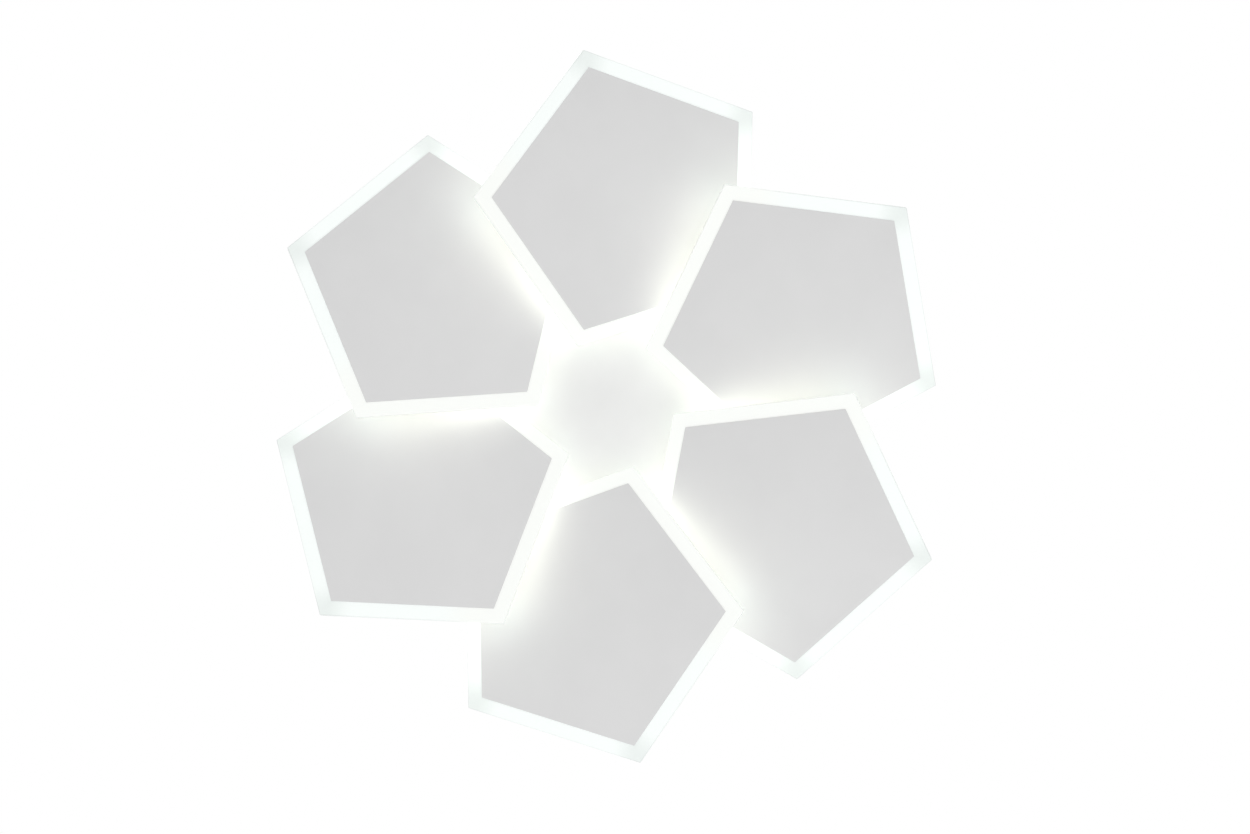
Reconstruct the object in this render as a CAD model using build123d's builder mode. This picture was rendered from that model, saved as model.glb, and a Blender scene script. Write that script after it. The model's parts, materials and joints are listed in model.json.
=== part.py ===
# Ceiling light with six tilted five-sided heads that overlap in a ring.
# Lengths are in millimetres and angles in degrees. Z points up, and the ceiling is the plane Z = 0.
import os
from math import cos, radians, sin, sqrt

from build123d import *

os.makedirs("parts", exist_ok=True)

# Ring of heads
head_count = 6
head_circle_radius = 208.0  # lamp's axis to the middle of each front plate
head_drop = 82.0  # ceiling to the middle of each front plate
lean = 10.4  # tilt of each head
uphill_direction = 120.2  # from the head's own radius round to the way its tilt rises
head_settings = (1.1, 1.6, -0.6, -1.3, -2.9, 2.2)  # how far each head was turned on its stem when fitted
turn_limit = 5.0  # travel of the stop pin, each way from the middle of its slot

# Front plate and its welded studs
plate_reach = 110.8  # middle to each side
plate_thickness = 1.0
plate_corner_radius = 0.8
side_count = 5
stud_circle_radius = 70.0
stud_radius = 2.0
stud_overhang = 5.0  # past the tray's floor
stud_clearance = 0.3

# Light guide
rim_width = 14.2  # how far the guide stands out beyond the plate
guide_thickness = 8.0
guide_corner_radius = 1.2
guide_edge_break = 0.5
slot_floor = 1.5  # acrylic left in front of a slot
slot_inner_reach = 95.2
slot_width = 3.8
slot_end_play = 1.0

# LED bars
bar_length = 116.0
bar_sheet = 1.2
bar_foot_width = 12.8
bar_gap = 0.4  # slot's inner wall and floor to the bar
board_thickness = 1.0
board_height = 6.0
chip_pitch = 8.2
chips_per_bar = 14
chip_width = 3.5
chip_height = 2.8
chip_thickness = 0.7

# Links between the LED bars, and the wires that feed them
link_circle_radius = 104.0
link_length = 18.0
link_width = 3.0
link_thickness = 0.6
link_gap = 0.1
feed_radius = 0.8
feed_spacing = 2.4
feed_start = 4.0
feed_lift = 0.05
feed_end_gap = 0.2

# Back tray
tray_sheet = 0.8
flange_inset = 2.4  # plate's side to the flange's edge
tray_wall_reach = 102.7  # outside of the wall where it leaves the flange
tray_floor_reach = 90.6
tray_height = 11.0  # light guide to the outside of the tray's floor
tray_corner_radius = 6.0
vent_circle_radius = 62.0
vent_length = 26.0
vent_width = 3.0
vent_pitch = 8.0
vents_per_side = 3

# Hollow stem on which a head hangs
stem_radius = 5.0
stem_bore_radius = 3.05
stem_clearance = 0.2
thread_clearance = 0.05
seat_gap = 0.1  # tray's floor to what is above and below it
stem_flange_radius = 10.0
stem_flange_thickness = 1.2
stem_nut_size = 14.0  # across flats
stem_nut_thickness = 5.0
stem_end_play = 1.0

# Foot collar and stop pin
collar_radius = 22.0
collar_thickness = 3.0
stop_circle_radius = 17.0
stop_radius = 2.0
stop_clearance = 0.25
stop_length = 3.0  # below the collar

# Arm
arm_level = 14.5  # ceiling to the arm's middle line
arm_radius = 6.0
arm_bore_radius = 4.5
arm_bend_radius = 22.0
arm_overhang = 12.0  # past the inside of the canopy's wall
shoulder_radius = 10.0
shoulder_thickness = 3.0
arm_port_clearance = 0.15
locknut_size = 17.0  # across flats
locknut_thickness = 5.0

# Canopy
canopy_radius = 125.0
canopy_depth = 44.0
canopy_sheet = 1.2
canopy_bend_radius = 7.0
ceiling_gap = 0.5
wall_gap = 0.1  # canopy's wall to a flat face against it
floor_stud_radius = 2.0
floor_stud_height = 8.0

# Ceiling bracket
bracket_width = 26.0
bracket_sheet = 2.0
bracket_bend_radius = 2.5
ear_drop = 24.0
ear_corner_radius = 4.0
ear_gap = 1.2  # canopy's wall to the middle of an ear
ceiling_slot_spacing = 120.0
ceiling_slot_length = 24.0
ceiling_slot_width = 5.2
cable_hole_radius = 7.0
cable_hole_offset = 32.0

# Side screws and the canopy's bayonet slots
side_screw_bearings = (90.0, 270.0)
side_screw_level = 16.0
side_screw_radius = 2.0
side_screw_head_radius = 4.2
side_screw_head_height = 2.6
side_screw_slot_width = 1.0
side_screw_slot_depth = 1.2
side_screw_head_gap = 0.3
side_screw_end_play = 1.0
thread_boss_radius = 4.2
thread_boss_height = 3.0
unlock_turn = 8.0
bayonet_clearance = 0.2

# Driver
driver_length = 112.0
driver_width = 50.0
driver_height = 18.5
driver_sheet = 1.0
driver_corner_radius = 2.0
driver_tab_length = 11.0
driver_tab_width = 14.0
driver_post_radius = 3.0
driver_post_inset = 3.5
circuit_sheet = 1.6
circuit_stand = 3.5
circuit_post_radius = 2.5
circuit_length = 94.0
circuit_width = 44.0
circuit_post_spacing = (88.0, 38.0)
lid_lip_height = 4.0
lid_lip_length = 84.0
lid_lip_sheet = 0.8
lid_gap = 0.2
lid_window = (13.0, 9.0)
lid_vent_length = 16.0
lid_vent_width = 2.4
lid_vent_pitch = 6.0
lid_vents = 4
lid_vent_offset = 33.0
small_screw_radius = 1.4
small_screw_clearance = 0.1
small_screw_head_radius = 2.7
small_screw_head_height = 1.6
small_screw_length = 5.0

# Parts on the driver's circuit board: middle, size and height of boxes, middle, radius and height of cans
input_block = ((42.0, 9.0), (8.0, 12.0), 9.0)
filter_capacitor = ((29.0, 14.0), (13.0, 6.0), 10.0)
transformer_core = ((-20.0, 0.0), (16.0, 24.0), 10.5)
transformer_coil = ((-20.0, 0.0), (23.0, 15.0), 8.5)
switch_sink = ((-1.0, 15.0), (20.0, 3.0), 11.0)
diode_sink = ((-36.0, -11.0), (3.0, 14.0), 11.0)
fuse = ((38.0, -9.0), (3.6, 12.0), 4.5)
choke = ((29.0, -1.0), 6.5, 8.0)
input_can = ((17.0, -13.0), 6.0, 11.4)
output_can_a = ((-39.0, 12.0), 4.0, 11.0)
output_can_b = ((-39.0, 2.5), 4.0, 11.0)

# Output board, its sockets and the heads' plugs
hub_radius = 42.0
hub_spacer_height = 2.0
hub_spacer_radius = 3.0
hub_screw_spacing = (34.0, 34.0)
socket_circle_radius = 33.0
socket_length = 12.0
socket_width = 9.0
socket_height = 8.5
plug_length = 11.0
plug_width = 7.0
plug_height = 6.0
plug_gap = 0.3
plug_nose_length = 7.0
plug_nose_inset = 1.0
plug_nose_clearance = 0.2
header_length = 10.0
header_width = 6.0

# Leads and wires
lead_radius = 2.75
lead_tail = 1.5  # light guide's back to the end of a lead
wire_radius = 1.2
wire_port_clearance = 0.3
wire_clip_gap = 0.3  # end of a wire to its clip
wire_bend_radius = 7.3
live_wire_offset = 8.5
neutral_wire_offset = 13.5
earth_wire_offset = 32.5

# Terminal block
terminal_offset = 6.0  # driver's end to the block's middle
terminal_y = 54.0
terminal_length = 34.0
terminal_width = 22.0
terminal_height = 18.0
terminal_corner_radius = 1.0
terminal_base = 1.5
terminal_ear_length = 10.0
terminal_ear_height = 3.0
pole_names = ("earth", "neutral", "line")
pole_pitch = 10.0
button_length = 6.4
button_width = 8.0
button_height = 9.0
button_edge_radius = 0.6
button_stand = 3.0  # above the block at rest
button_travel = 2.0
button_clearance = 0.25
wire_port_radius = 1.7
wire_port_height = 9.0  # block's underside to the middle of a port
clip_sheet = 0.5
clip_width = 5.0
clip_top_gap = 0.5  # under a pressed button
clip_side_gap = 0.4

# Nuts and the earth lug
m4_nut_size = 7.0
m4_nut_thickness = 3.2
m4_flange_radius = 4.5
m4_flange_thickness = 0.8
earth_stud_x = 13.0
lug_sheet = 0.8
lug_radius = 4.5
lug_barrel_radius = 2.0
lug_barrel_length = 6.0
lug_barrel_grip = 4.0

# Levels above a head's front face, along its stem
guide_back = plate_thickness + guide_thickness
tray_top = guide_back + tray_height
collar_base = tray_top + seat_gap
flange_top = tray_top - tray_sheet - seat_gap
stem_end = flange_top - stem_flange_thickness - stem_nut_thickness - stem_end_play
bar_base = plate_thickness + slot_floor + bar_gap
chip_level = (bar_base + guide_back - chip_height) / 2

# Reaches from a head's middle to each of its five sides
guide_reach = plate_reach + rim_width
bar_reach = slot_inner_reach + bar_gap
board_reach = bar_reach + bar_sheet
chip_reach = board_reach + board_thickness
side_angle = 180 / side_count  # from a corner of the outline to the middle of the next side

# Levels and radii in the canopy
canopy_bore = canopy_radius - canopy_sheet
floor_level = canopy_sheet - canopy_depth
ear_reach = canopy_bore - ear_gap
arm_start_radius = canopy_bore - arm_overhang
driver_top = floor_level + driver_height
circuit_level = floor_level + driver_sheet + circuit_stand
circuit_top = circuit_level + circuit_sheet
hub_level = driver_top + driver_sheet + hub_spacer_height
hub_top = hub_level + circuit_sheet
plug_start_radius = socket_circle_radius + socket_length / 2 + plug_gap
lead_start_radius = plug_start_radius + plug_length
terminal_x = driver_length / 2 + terminal_offset
terminal_top = floor_level + terminal_height
port_level = floor_level + wire_port_height

# Places on the canopy's floor
driver_stud_offset = (driver_length + driver_tab_length) / 2
terminal_stud_x = terminal_x - (terminal_length + terminal_ear_length) / 2
floor_studs = [
    (-driver_stud_offset, 0),
    (driver_stud_offset, 0),
    (terminal_stud_x, terminal_y),
    (earth_stud_x, earth_wire_offset),
]
foot_tops = [driver_sheet, driver_sheet, terminal_ear_height, lug_sheet]
pole_places = [terminal_x - pole_pitch, terminal_x, terminal_x + pole_pitch]


def five_sides(reach, corner_radius):
    """Flat five-sided outline with rounded corners, one of them on X."""
    with BuildSketch() as outline:
        RegularPolygon(radius=reach, side_count=side_count, major_radius=False)
        fillet(outline.vertices(), corner_radius)
    return outline.sketch


def seat_plane(number):
    """Plane of a head's front face as its arm holds it, with X uphill and Z along the stem."""
    bearing = 360 / head_count * number
    tilt = radians(lean)
    middle = Vector(head_circle_radius, 0, -head_drop).rotate(Axis.Z, bearing)
    uphill = Vector(cos(tilt), 0, sin(tilt)).rotate(Axis.Z, bearing + uphill_direction)
    stem = Vector(-sin(tilt), 0, cos(tilt)).rotate(Axis.Z, bearing + uphill_direction)
    return Plane(origin=middle, x_dir=uphill, z_dir=stem)


def head_plane(number):
    """Plane of a head's front face with the head turned as it was fitted."""
    seat = seat_plane(number)
    turned = seat.x_dir.rotate(Axis((0, 0, 0), seat.z_dir), head_settings[number])
    return Plane(origin=seat.origin, x_dir=turned, z_dir=seat.z_dir)


def arm_elbow(number):
    """Point where the middle lines of a stem and of its arm's level run meet."""
    seat = seat_plane(number)
    return seat.origin + seat.z_dir * ((head_drop - arm_level) / cos(radians(lean)))


def arm_bearing(number):
    """Direction of an arm's level run, from the lamp's axis."""
    elbow = arm_elbow(number)
    return Vector(1, 0, 0).get_signed_angle(Vector(elbow.X, elbow.Y, 0), Vector(0, 0, 1))


def upright_plane(bearing, radius, level):
    """Plane that faces out from the lamp's axis, with X sideways and Y up."""
    outward = Vector(1, 0, 0).rotate(Axis.Z, bearing)
    sideways = Vector(0, 1, 0).rotate(Axis.Z, bearing)
    return Plane(origin=outward * radius + Vector(0, 0, level), x_dir=sideways, z_dir=outward)


plate_outline = five_sides(plate_reach, plate_corner_radius)
guide_outline = five_sides(guide_reach, guide_corner_radius)
flange_outline = five_sides(plate_reach - flange_inset, tray_corner_radius)
wall_outline = five_sides(tray_wall_reach, tray_corner_radius)
floor_outline = five_sides(tray_floor_reach, tray_corner_radius)
wall_opening = five_sides(tray_wall_reach - tray_sheet, tray_corner_radius - tray_sheet)
floor_opening = five_sides(tray_floor_reach - tray_sheet, tray_corner_radius - tray_sheet)
stop_slot_run = 2 * stop_circle_radius * sin(radians(turn_limit))

# Six heads
for number in range(head_count):
    head = f"head_{number + 1}"
    face = head_plane(number)
    stem_axis = Axis(face.origin, face.z_dir)

    # Front plate
    with BuildPart() as front_plate:
        with BuildSketch(face):
            add(plate_outline)
        extrude(amount=plate_thickness)
        with BuildSketch(face.offset(plate_thickness)):
            with PolarLocations(stud_circle_radius, side_count):
                Circle(stud_radius)
        extrude(amount=tray_height + guide_thickness + stud_overhang)
    front_plate.part.label = f"{head}_front_plate"
    export_step(front_plate.part, f"parts/{head}_front_plate.step")

    # Light guide
    with BuildPart() as light_guide:
        with BuildSketch(face.offset(plate_thickness)):
            add(guide_outline)
        extrude(amount=guide_thickness)
        levels = light_guide.faces().sort_by(stem_axis)
        chamfer(levels[0].edges() + levels[-1].edges(), guide_edge_break)
        with BuildSketch(face.offset(guide_back)):
            with PolarLocations(slot_inner_reach + slot_width / 2, side_count, start_angle=side_angle):
                Rectangle(slot_width, bar_length + 2 * slot_end_play)
        extrude(amount=slot_floor - guide_thickness, mode=Mode.SUBTRACT)
        with BuildSketch(face.offset(guide_back)):
            with PolarLocations(stud_circle_radius, side_count):
                Circle(stud_radius + stud_clearance)
        extrude(amount=-guide_thickness, mode=Mode.SUBTRACT)
    light_guide.part.label = f"{head}_light_guide"
    export_step(light_guide.part, f"parts/{head}_light_guide.step")

    # LED bars, the flat links over the gaps between them and the two wires that feed them
    bar_foot_start = board_reach - bar_foot_width
    feed_way = face.x_dir.rotate(Axis((0, 0, 0), face.z_dir), side_angle)
    feed_plane = Plane(
        origin=face.origin + feed_way * feed_start + face.z_dir * (guide_back + feed_radius + feed_lift),
        x_dir=face.z_dir.cross(feed_way),
        z_dir=feed_way,
    )
    with BuildPart() as led_bars:
        with BuildSketch(face.offset(bar_base)):
            with PolarLocations(bar_reach + bar_sheet / 2, side_count, start_angle=side_angle):
                Rectangle(bar_sheet, bar_length)
        extrude(amount=guide_back + bar_sheet - bar_base)
        with BuildSketch(face.offset(guide_back)):
            with PolarLocations(board_reach - bar_foot_width / 2, side_count, start_angle=side_angle):
                Rectangle(bar_foot_width, bar_length)
        extrude(amount=bar_sheet)
        with BuildSketch(face.offset(bar_base)):
            with PolarLocations(board_reach + board_thickness / 2, side_count, start_angle=side_angle):
                Rectangle(board_thickness, bar_length)
        extrude(amount=board_height)
        with BuildSketch(face.offset(chip_level)):
            with PolarLocations(chip_reach + chip_thickness / 2, side_count, start_angle=side_angle):
                with GridLocations(chip_thickness, chip_pitch, 1, chips_per_bar):
                    Rectangle(chip_thickness, chip_width)
        extrude(amount=chip_height)
        with BuildSketch(face.offset(guide_back + bar_sheet + link_gap)):
            with PolarLocations(link_circle_radius, side_count):
                Rectangle(link_width, link_length)
        extrude(amount=link_thickness)
        with BuildSketch(feed_plane):
            with GridLocations(feed_spacing, 0, 2, 1):
                Circle(feed_radius)
        extrude(amount=bar_foot_start - feed_end_gap - feed_start)
    led_bars.part.label = f"{head}_led_bars"
    export_step(led_bars.part, f"parts/{head}_led_bars.step")

    # Back tray, with the hole for the stem, the stop pin's slot, the studs' holes and the vents
    with BuildPart() as back_tray:
        with BuildSketch(face.offset(guide_back)):
            add(wall_outline)
        with BuildSketch(face.offset(tray_top)):
            add(floor_outline)
        loft()
        with BuildSketch(face.offset(guide_back)):
            add(flange_outline)
        extrude(amount=tray_sheet)
        with BuildSketch(face.offset(guide_back)):
            add(wall_opening)
        with BuildSketch(face.offset(tray_top - tray_sheet)):
            add(floor_opening)
        loft(mode=Mode.SUBTRACT)
        with BuildSketch(face.offset(tray_top)):
            Circle(stem_radius + stem_clearance)
            with Locations((stop_circle_radius, 0)):
                SlotCenterToCenter(stop_slot_run, 2 * (stop_radius + stop_clearance), rotation=90)
            with PolarLocations(stud_circle_radius, side_count):
                Circle(stud_radius + stud_clearance)
            with PolarLocations(vent_circle_radius, side_count, start_angle=side_angle):
                with GridLocations(vent_pitch, vent_length, vents_per_side, 1):
                    SlotOverall(vent_length, vent_width, rotation=90)
        extrude(amount=-tray_sheet, mode=Mode.SUBTRACT)
    back_tray.part.label = f"{head}_back_tray"
    export_step(back_tray.part, f"parts/{head}_back_tray.step")

    # Flanged nuts on the front plate's studs
    with BuildPart() as plate_nuts:
        with BuildSketch(face.offset(tray_top)):
            with PolarLocations(stud_circle_radius, side_count):
                Circle(m4_flange_radius)
                Circle(stud_radius + thread_clearance, mode=Mode.SUBTRACT)
        extrude(amount=m4_flange_thickness)
        with BuildSketch(face.offset(tray_top + m4_flange_thickness)):
            with PolarLocations(stud_circle_radius, side_count):
                RegularPolygon(radius=m4_nut_size / 2, side_count=6, major_radius=False)
                Circle(stud_radius + thread_clearance, mode=Mode.SUBTRACT)
        extrude(amount=m4_nut_thickness)
    plate_nuts.part.label = f"{head}_plate_nuts"
    export_step(plate_nuts.part, f"parts/{head}_plate_nuts.step")

    # Arm: bent tube, shoulder, foot collar, hollow stem and stop pin
    bearing = arm_bearing(number)
    start = upright_plane(bearing, arm_start_radius, -arm_level)
    foot = seat_plane(number).offset(collar_base)
    with BuildPart() as arm:
        with BuildLine() as route:
            FilletPolyline(start.origin, arm_elbow(number), foot.origin, radius=arm_bend_radius)
        with BuildSketch(start):
            Circle(arm_radius)
        sweep(path=route.line)
        with BuildSketch(upright_plane(bearing, canopy_radius + wall_gap, -arm_level)):
            Circle(shoulder_radius)
        extrude(amount=shoulder_thickness)
        with BuildSketch(foot):
            Circle(collar_radius)
        extrude(amount=collar_thickness)
        with BuildSketch(start):
            Circle(arm_bore_radius)
        sweep(path=route.line, mode=Mode.SUBTRACT)
        with BuildSketch(foot):
            Circle(stem_radius)
            Circle(stem_bore_radius, mode=Mode.SUBTRACT)
        extrude(amount=stem_end - collar_base)
        with BuildSketch(foot):
            with Locations((stop_circle_radius, 0)):
                Circle(stop_radius)
        extrude(amount=-stop_length)
    arm.part.label = f"arm_{number + 1}"
    export_step(arm.part, f"parts/arm_{number + 1}.step")

# Flanged nuts that hold the heads on their stems, one inside each tray
with BuildPart() as stem_nuts:
    for number in range(head_count):
        seat = seat_plane(number)
        with BuildSketch(seat.offset(flange_top)):
            Circle(stem_flange_radius)
            Circle(stem_radius + thread_clearance, mode=Mode.SUBTRACT)
        extrude(amount=-stem_flange_thickness)
        with BuildSketch(seat.offset(flange_top - stem_flange_thickness)):
            RegularPolygon(radius=stem_nut_size / 2, side_count=6, major_radius=False)
            Circle(stem_radius + thread_clearance, mode=Mode.SUBTRACT)
        extrude(amount=-stem_nut_thickness)
stem_nuts.part.label = "stem_nuts"
export_step(stem_nuts.part, "parts/stem_nuts.step")

# Locknuts that hold the arms against the inside of the canopy's wall
locknut_corner = locknut_size / 2 / cos(radians(30))
locknut_radius = sqrt(canopy_bore**2 - locknut_corner**2) - wall_gap
with BuildPart() as arm_locknuts:
    for number in range(head_count):
        with BuildSketch(upright_plane(arm_bearing(number), locknut_radius, -arm_level)):
            RegularPolygon(radius=locknut_corner, side_count=6)
            Circle(arm_radius + thread_clearance, mode=Mode.SUBTRACT)
        extrude(amount=-locknut_thickness)
arm_locknuts.part.label = "arm_locknuts"
export_step(arm_locknuts.part, "parts/arm_locknuts.step")

# Leads, each from its plug through its arm and stem into its head
with BuildPart() as head_leads:
    for number in range(head_count):
        seat = seat_plane(number)
        start = upright_plane(arm_bearing(number), lead_start_radius, -arm_level)
        end = seat.origin + seat.z_dir * (guide_back + lead_tail)
        with BuildLine() as route:
            FilletPolyline(start.origin, arm_elbow(number), end, radius=arm_bend_radius)
        with BuildSketch(start):
            Circle(lead_radius)
        sweep(path=route.line)
head_leads.part.label = "head_leads"
export_step(head_leads.part, "parts/head_leads.step")

# Plugs on the leads, each with a nose that goes into its socket
with BuildPart() as lead_plugs:
    for number in range(head_count):
        front = upright_plane(arm_bearing(number), plug_start_radius, -arm_level)
        with BuildSketch(front):
            Rectangle(plug_width, plug_height)
        extrude(amount=plug_length)
        with BuildSketch(front):
            Rectangle(plug_width - 2 * plug_nose_inset, plug_height - 2 * plug_nose_inset)
        extrude(amount=-plug_nose_length)
lead_plugs.part.label = "lead_plugs"
export_step(lead_plugs.part, "parts/lead_plugs.step")

# Sockets on the output board, and the header from it down to the driver's circuit board
socket_pocket_inset = plug_nose_inset - plug_nose_clearance
with BuildPart() as output_sockets:
    for number in range(head_count):
        front = upright_plane(arm_bearing(number), socket_circle_radius + socket_length / 2, 0)
        with BuildSketch(front):
            with Locations((0, hub_top)):
                Rectangle(socket_width, socket_height, align=(Align.CENTER, Align.MIN))
            with Locations((0, -arm_level)):
                Rectangle(
                    plug_width - 2 * socket_pocket_inset,
                    plug_height - 2 * socket_pocket_inset,
                    mode=Mode.SUBTRACT,
                )
        extrude(amount=plug_gap - plug_nose_length)
        with BuildSketch(front.offset(plug_gap - plug_nose_length)):
            with Locations((0, hub_top)):
                Rectangle(socket_width, socket_height, align=(Align.CENTER, Align.MIN))
        extrude(amount=plug_nose_length - plug_gap - socket_length)
    with BuildSketch(Plane.XY.offset(circuit_top)):
        Rectangle(header_length, header_width)
    extrude(amount=hub_level - circuit_top)
output_sockets.part.label = "output_sockets"
export_step(output_sockets.part, "parts/output_sockets.step")

# Output board
with BuildPart() as output_board:
    with BuildSketch(Plane.XY.offset(hub_level)):
        Circle(hub_radius)
        with GridLocations(*hub_screw_spacing, 2, 2):
            Circle(small_screw_radius + small_screw_clearance, mode=Mode.SUBTRACT)
    extrude(amount=circuit_sheet)
output_board.part.label = "output_board"
export_step(output_board.part, "parts/output_board.step")

# Canopy, with the arms' holes, the bayonet slots and the studs on its floor
slot_run = (canopy_radius - canopy_sheet / 2) * sin(radians(unlock_turn))
slot_depth_start = canopy_bore * cos(radians(2 * unlock_turn))
bayonet_width = 2 * (side_screw_radius + bayonet_clearance)
with BuildPart() as canopy:
    with BuildSketch(Plane.XY.offset(-canopy_depth)):
        Circle(canopy_radius)
    extrude(amount=canopy_depth - ceiling_gap)
    fillet(canopy.edges().sort_by(Axis.Z)[0], canopy_bend_radius)
    offset(amount=-canopy_sheet, openings=canopy.faces().sort_by(Axis.Z)[-1])
    for number in range(head_count):
        with Locations(upright_plane(arm_bearing(number), canopy_radius + wall_gap, -arm_level)):
            Hole(arm_radius + arm_port_clearance, depth=3 * canopy_sheet)
    for bearing in side_screw_bearings:
        with BuildSketch(upright_plane(bearing, slot_depth_start, -side_screw_level)):
            with Locations((-slot_run / 2, 0)):
                SlotCenterToCenter(slot_run, bayonet_width)
            with Locations((-slot_run, 0)):
                Rectangle(bayonet_width, side_screw_level, align=(Align.CENTER, Align.MIN))
        extrude(amount=canopy_radius + canopy_sheet - slot_depth_start, mode=Mode.SUBTRACT)
    with BuildSketch(Plane.XY.offset(floor_level)):
        with Locations(*floor_studs):
            Circle(floor_stud_radius)
    extrude(amount=floor_stud_height)
canopy.part.label = "canopy"
export_step(canopy.part, "parts/canopy.step")

# Ceiling bracket, with its slots, the cable's hole and the threaded ears
with BuildPart() as ceiling_bracket:
    with BuildSketch(Plane.YZ) as profile:
        Rectangle(2 * ear_reach, ear_drop, align=(Align.CENTER, Align.MAX))
        with Locations((0, -bracket_sheet)):
            Rectangle(
                2 * (ear_reach - bracket_sheet), ear_drop, align=(Align.CENTER, Align.MAX), mode=Mode.SUBTRACT
            )
        levels = profile.vertices().group_by(Axis.Y)
        fillet(levels[-1], bracket_bend_radius)
        fillet(levels[-2], bracket_bend_radius - bracket_sheet)
    extrude(amount=bracket_width / 2, both=True)
    fillet(ceiling_bracket.edges().filter_by(Axis.Y).group_by(Axis.Z)[0], ear_corner_radius)
    with BuildSketch(Plane.XY):
        with GridLocations(0, ceiling_slot_spacing, 1, 2):
            SlotOverall(ceiling_slot_length, ceiling_slot_width, rotation=90)
        with Locations((0, cable_hole_offset)):
            Circle(cable_hole_radius)
    extrude(amount=-bracket_sheet, mode=Mode.SUBTRACT)
    for bearing in side_screw_bearings:
        with BuildSketch(upright_plane(bearing, ear_reach - bracket_sheet, -side_screw_level)):
            Circle(thread_boss_radius)
        extrude(amount=-thread_boss_height)
        with Locations(upright_plane(bearing, ear_reach, -side_screw_level)):
            Hole(side_screw_radius + thread_clearance, depth=bracket_sheet + thread_boss_height)
ceiling_bracket.part.label = "ceiling_bracket"
export_step(ceiling_bracket.part, "parts/ceiling_bracket.step")

# Side screws
side_screw_tip = ear_reach - bracket_sheet - thread_boss_height - side_screw_end_play
side_screw_seat = canopy_radius + side_screw_head_gap
with BuildPart() as side_screws:
    for bearing in side_screw_bearings:
        with BuildSketch(upright_plane(bearing, side_screw_tip, -side_screw_level)):
            Circle(side_screw_radius)
        extrude(amount=side_screw_seat - side_screw_tip)
        with BuildSketch(upright_plane(bearing, side_screw_seat, -side_screw_level)):
            Circle(side_screw_head_radius)
        extrude(amount=side_screw_head_height)
        with BuildSketch(upright_plane(bearing, side_screw_seat + side_screw_head_height, -side_screw_level)):
            Rectangle(2 * side_screw_head_radius, side_screw_slot_width)
            Rectangle(side_screw_slot_width, 2 * side_screw_head_radius)
        extrude(amount=-side_screw_slot_depth, mode=Mode.SUBTRACT)
side_screws.part.label = "side_screws"
export_step(side_screws.part, "parts/side_screws.step")

# Driver base, with tabs for the canopy's studs and posts for the circuit board and the lid
lid_post_spacing = (driver_length - 2 * driver_post_inset, driver_width - 2 * driver_post_inset)
with BuildPart() as driver_base:
    with BuildSketch(Plane.XY.offset(floor_level)):
        RectangleRounded(driver_length, driver_width, driver_corner_radius)
    extrude(amount=driver_height)
    offset(amount=-driver_sheet, openings=driver_base.faces().sort_by(Axis.Z)[-1])
    with BuildSketch(Plane.XY.offset(floor_level)):
        with GridLocations(2 * driver_stud_offset, 0, 2, 1):
            Rectangle(driver_tab_length, driver_tab_width)
            Circle(floor_stud_radius + stud_clearance, mode=Mode.SUBTRACT)
    extrude(amount=driver_sheet)
    with BuildSketch(Plane.XY.offset(floor_level + driver_sheet)):
        with GridLocations(*circuit_post_spacing, 2, 2):
            Circle(circuit_post_radius)
    extrude(amount=circuit_stand)
    with BuildSketch(Plane.XY.offset(floor_level + driver_sheet)):
        with GridLocations(*lid_post_spacing, 2, 2):
            Circle(driver_post_radius)
    extrude(amount=driver_height - driver_sheet)
    with BuildSketch(Plane.XY.offset(circuit_level)):
        with GridLocations(*circuit_post_spacing, 2, 2):
            Circle(small_screw_radius + thread_clearance)
    extrude(amount=circuit_sheet - small_screw_length, mode=Mode.SUBTRACT)
    with BuildSketch(Plane.XY.offset(driver_top)):
        with GridLocations(*lid_post_spacing, 2, 2):
            Circle(small_screw_radius + thread_clearance)
    extrude(amount=-small_screw_length, mode=Mode.SUBTRACT)
    with BuildSketch(upright_plane(0, driver_length / 2, port_level)):
        with Locations((live_wire_offset, 0), (neutral_wire_offset, 0)):
            Circle(wire_radius + wire_port_clearance)
    extrude(amount=-driver_sheet, mode=Mode.SUBTRACT)
driver_base.part.label = "driver_base"
export_step(driver_base.part, "parts/driver_base.step")

# Driver lid, with lips inside the base, vents, a window for the header and spacers for the output board
lip_offset = driver_width / 2 - driver_sheet - lid_gap - lid_lip_sheet / 2
with BuildPart() as driver_lid:
    with BuildSketch(Plane.XY.offset(driver_top)):
        RectangleRounded(driver_length, driver_width, driver_corner_radius)
    extrude(amount=driver_sheet)
    with BuildSketch(Plane.XY.offset(driver_top)):
        with GridLocations(0, 2 * lip_offset, 1, 2):
            Rectangle(lid_lip_length, lid_lip_sheet)
    extrude(amount=-lid_lip_height)
    with BuildSketch(Plane.XY.offset(driver_top + driver_sheet)):
        with GridLocations(*hub_screw_spacing, 2, 2):
            Circle(hub_spacer_radius)
    extrude(amount=hub_spacer_height)
    with BuildSketch(Plane.XY.offset(hub_level)):
        Rectangle(*lid_window)
        with GridLocations(*hub_screw_spacing, 2, 2):
            Circle(small_screw_radius + thread_clearance)
        with GridLocations(*lid_post_spacing, 2, 2):
            Circle(small_screw_radius + small_screw_clearance)
        with GridLocations(2 * lid_vent_offset, lid_vent_pitch, 2, lid_vents):
            SlotOverall(lid_vent_length, lid_vent_width)
    extrude(amount=-hub_spacer_height - driver_sheet, mode=Mode.SUBTRACT)
driver_lid.part.label = "driver_lid"
export_step(driver_lid.part, "parts/driver_lid.step")

# Driver's circuit board
with BuildPart() as circuit_board:
    with BuildSketch(Plane.XY.offset(circuit_level)):
        Rectangle(circuit_length, circuit_width)
        with GridLocations(*circuit_post_spacing, 2, 2):
            Circle(small_screw_radius + small_screw_clearance, mode=Mode.SUBTRACT)
    extrude(amount=circuit_sheet)
circuit_board.part.label = "driver_circuit_board"
export_step(circuit_board.part, "parts/driver_circuit_board.step")

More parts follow.
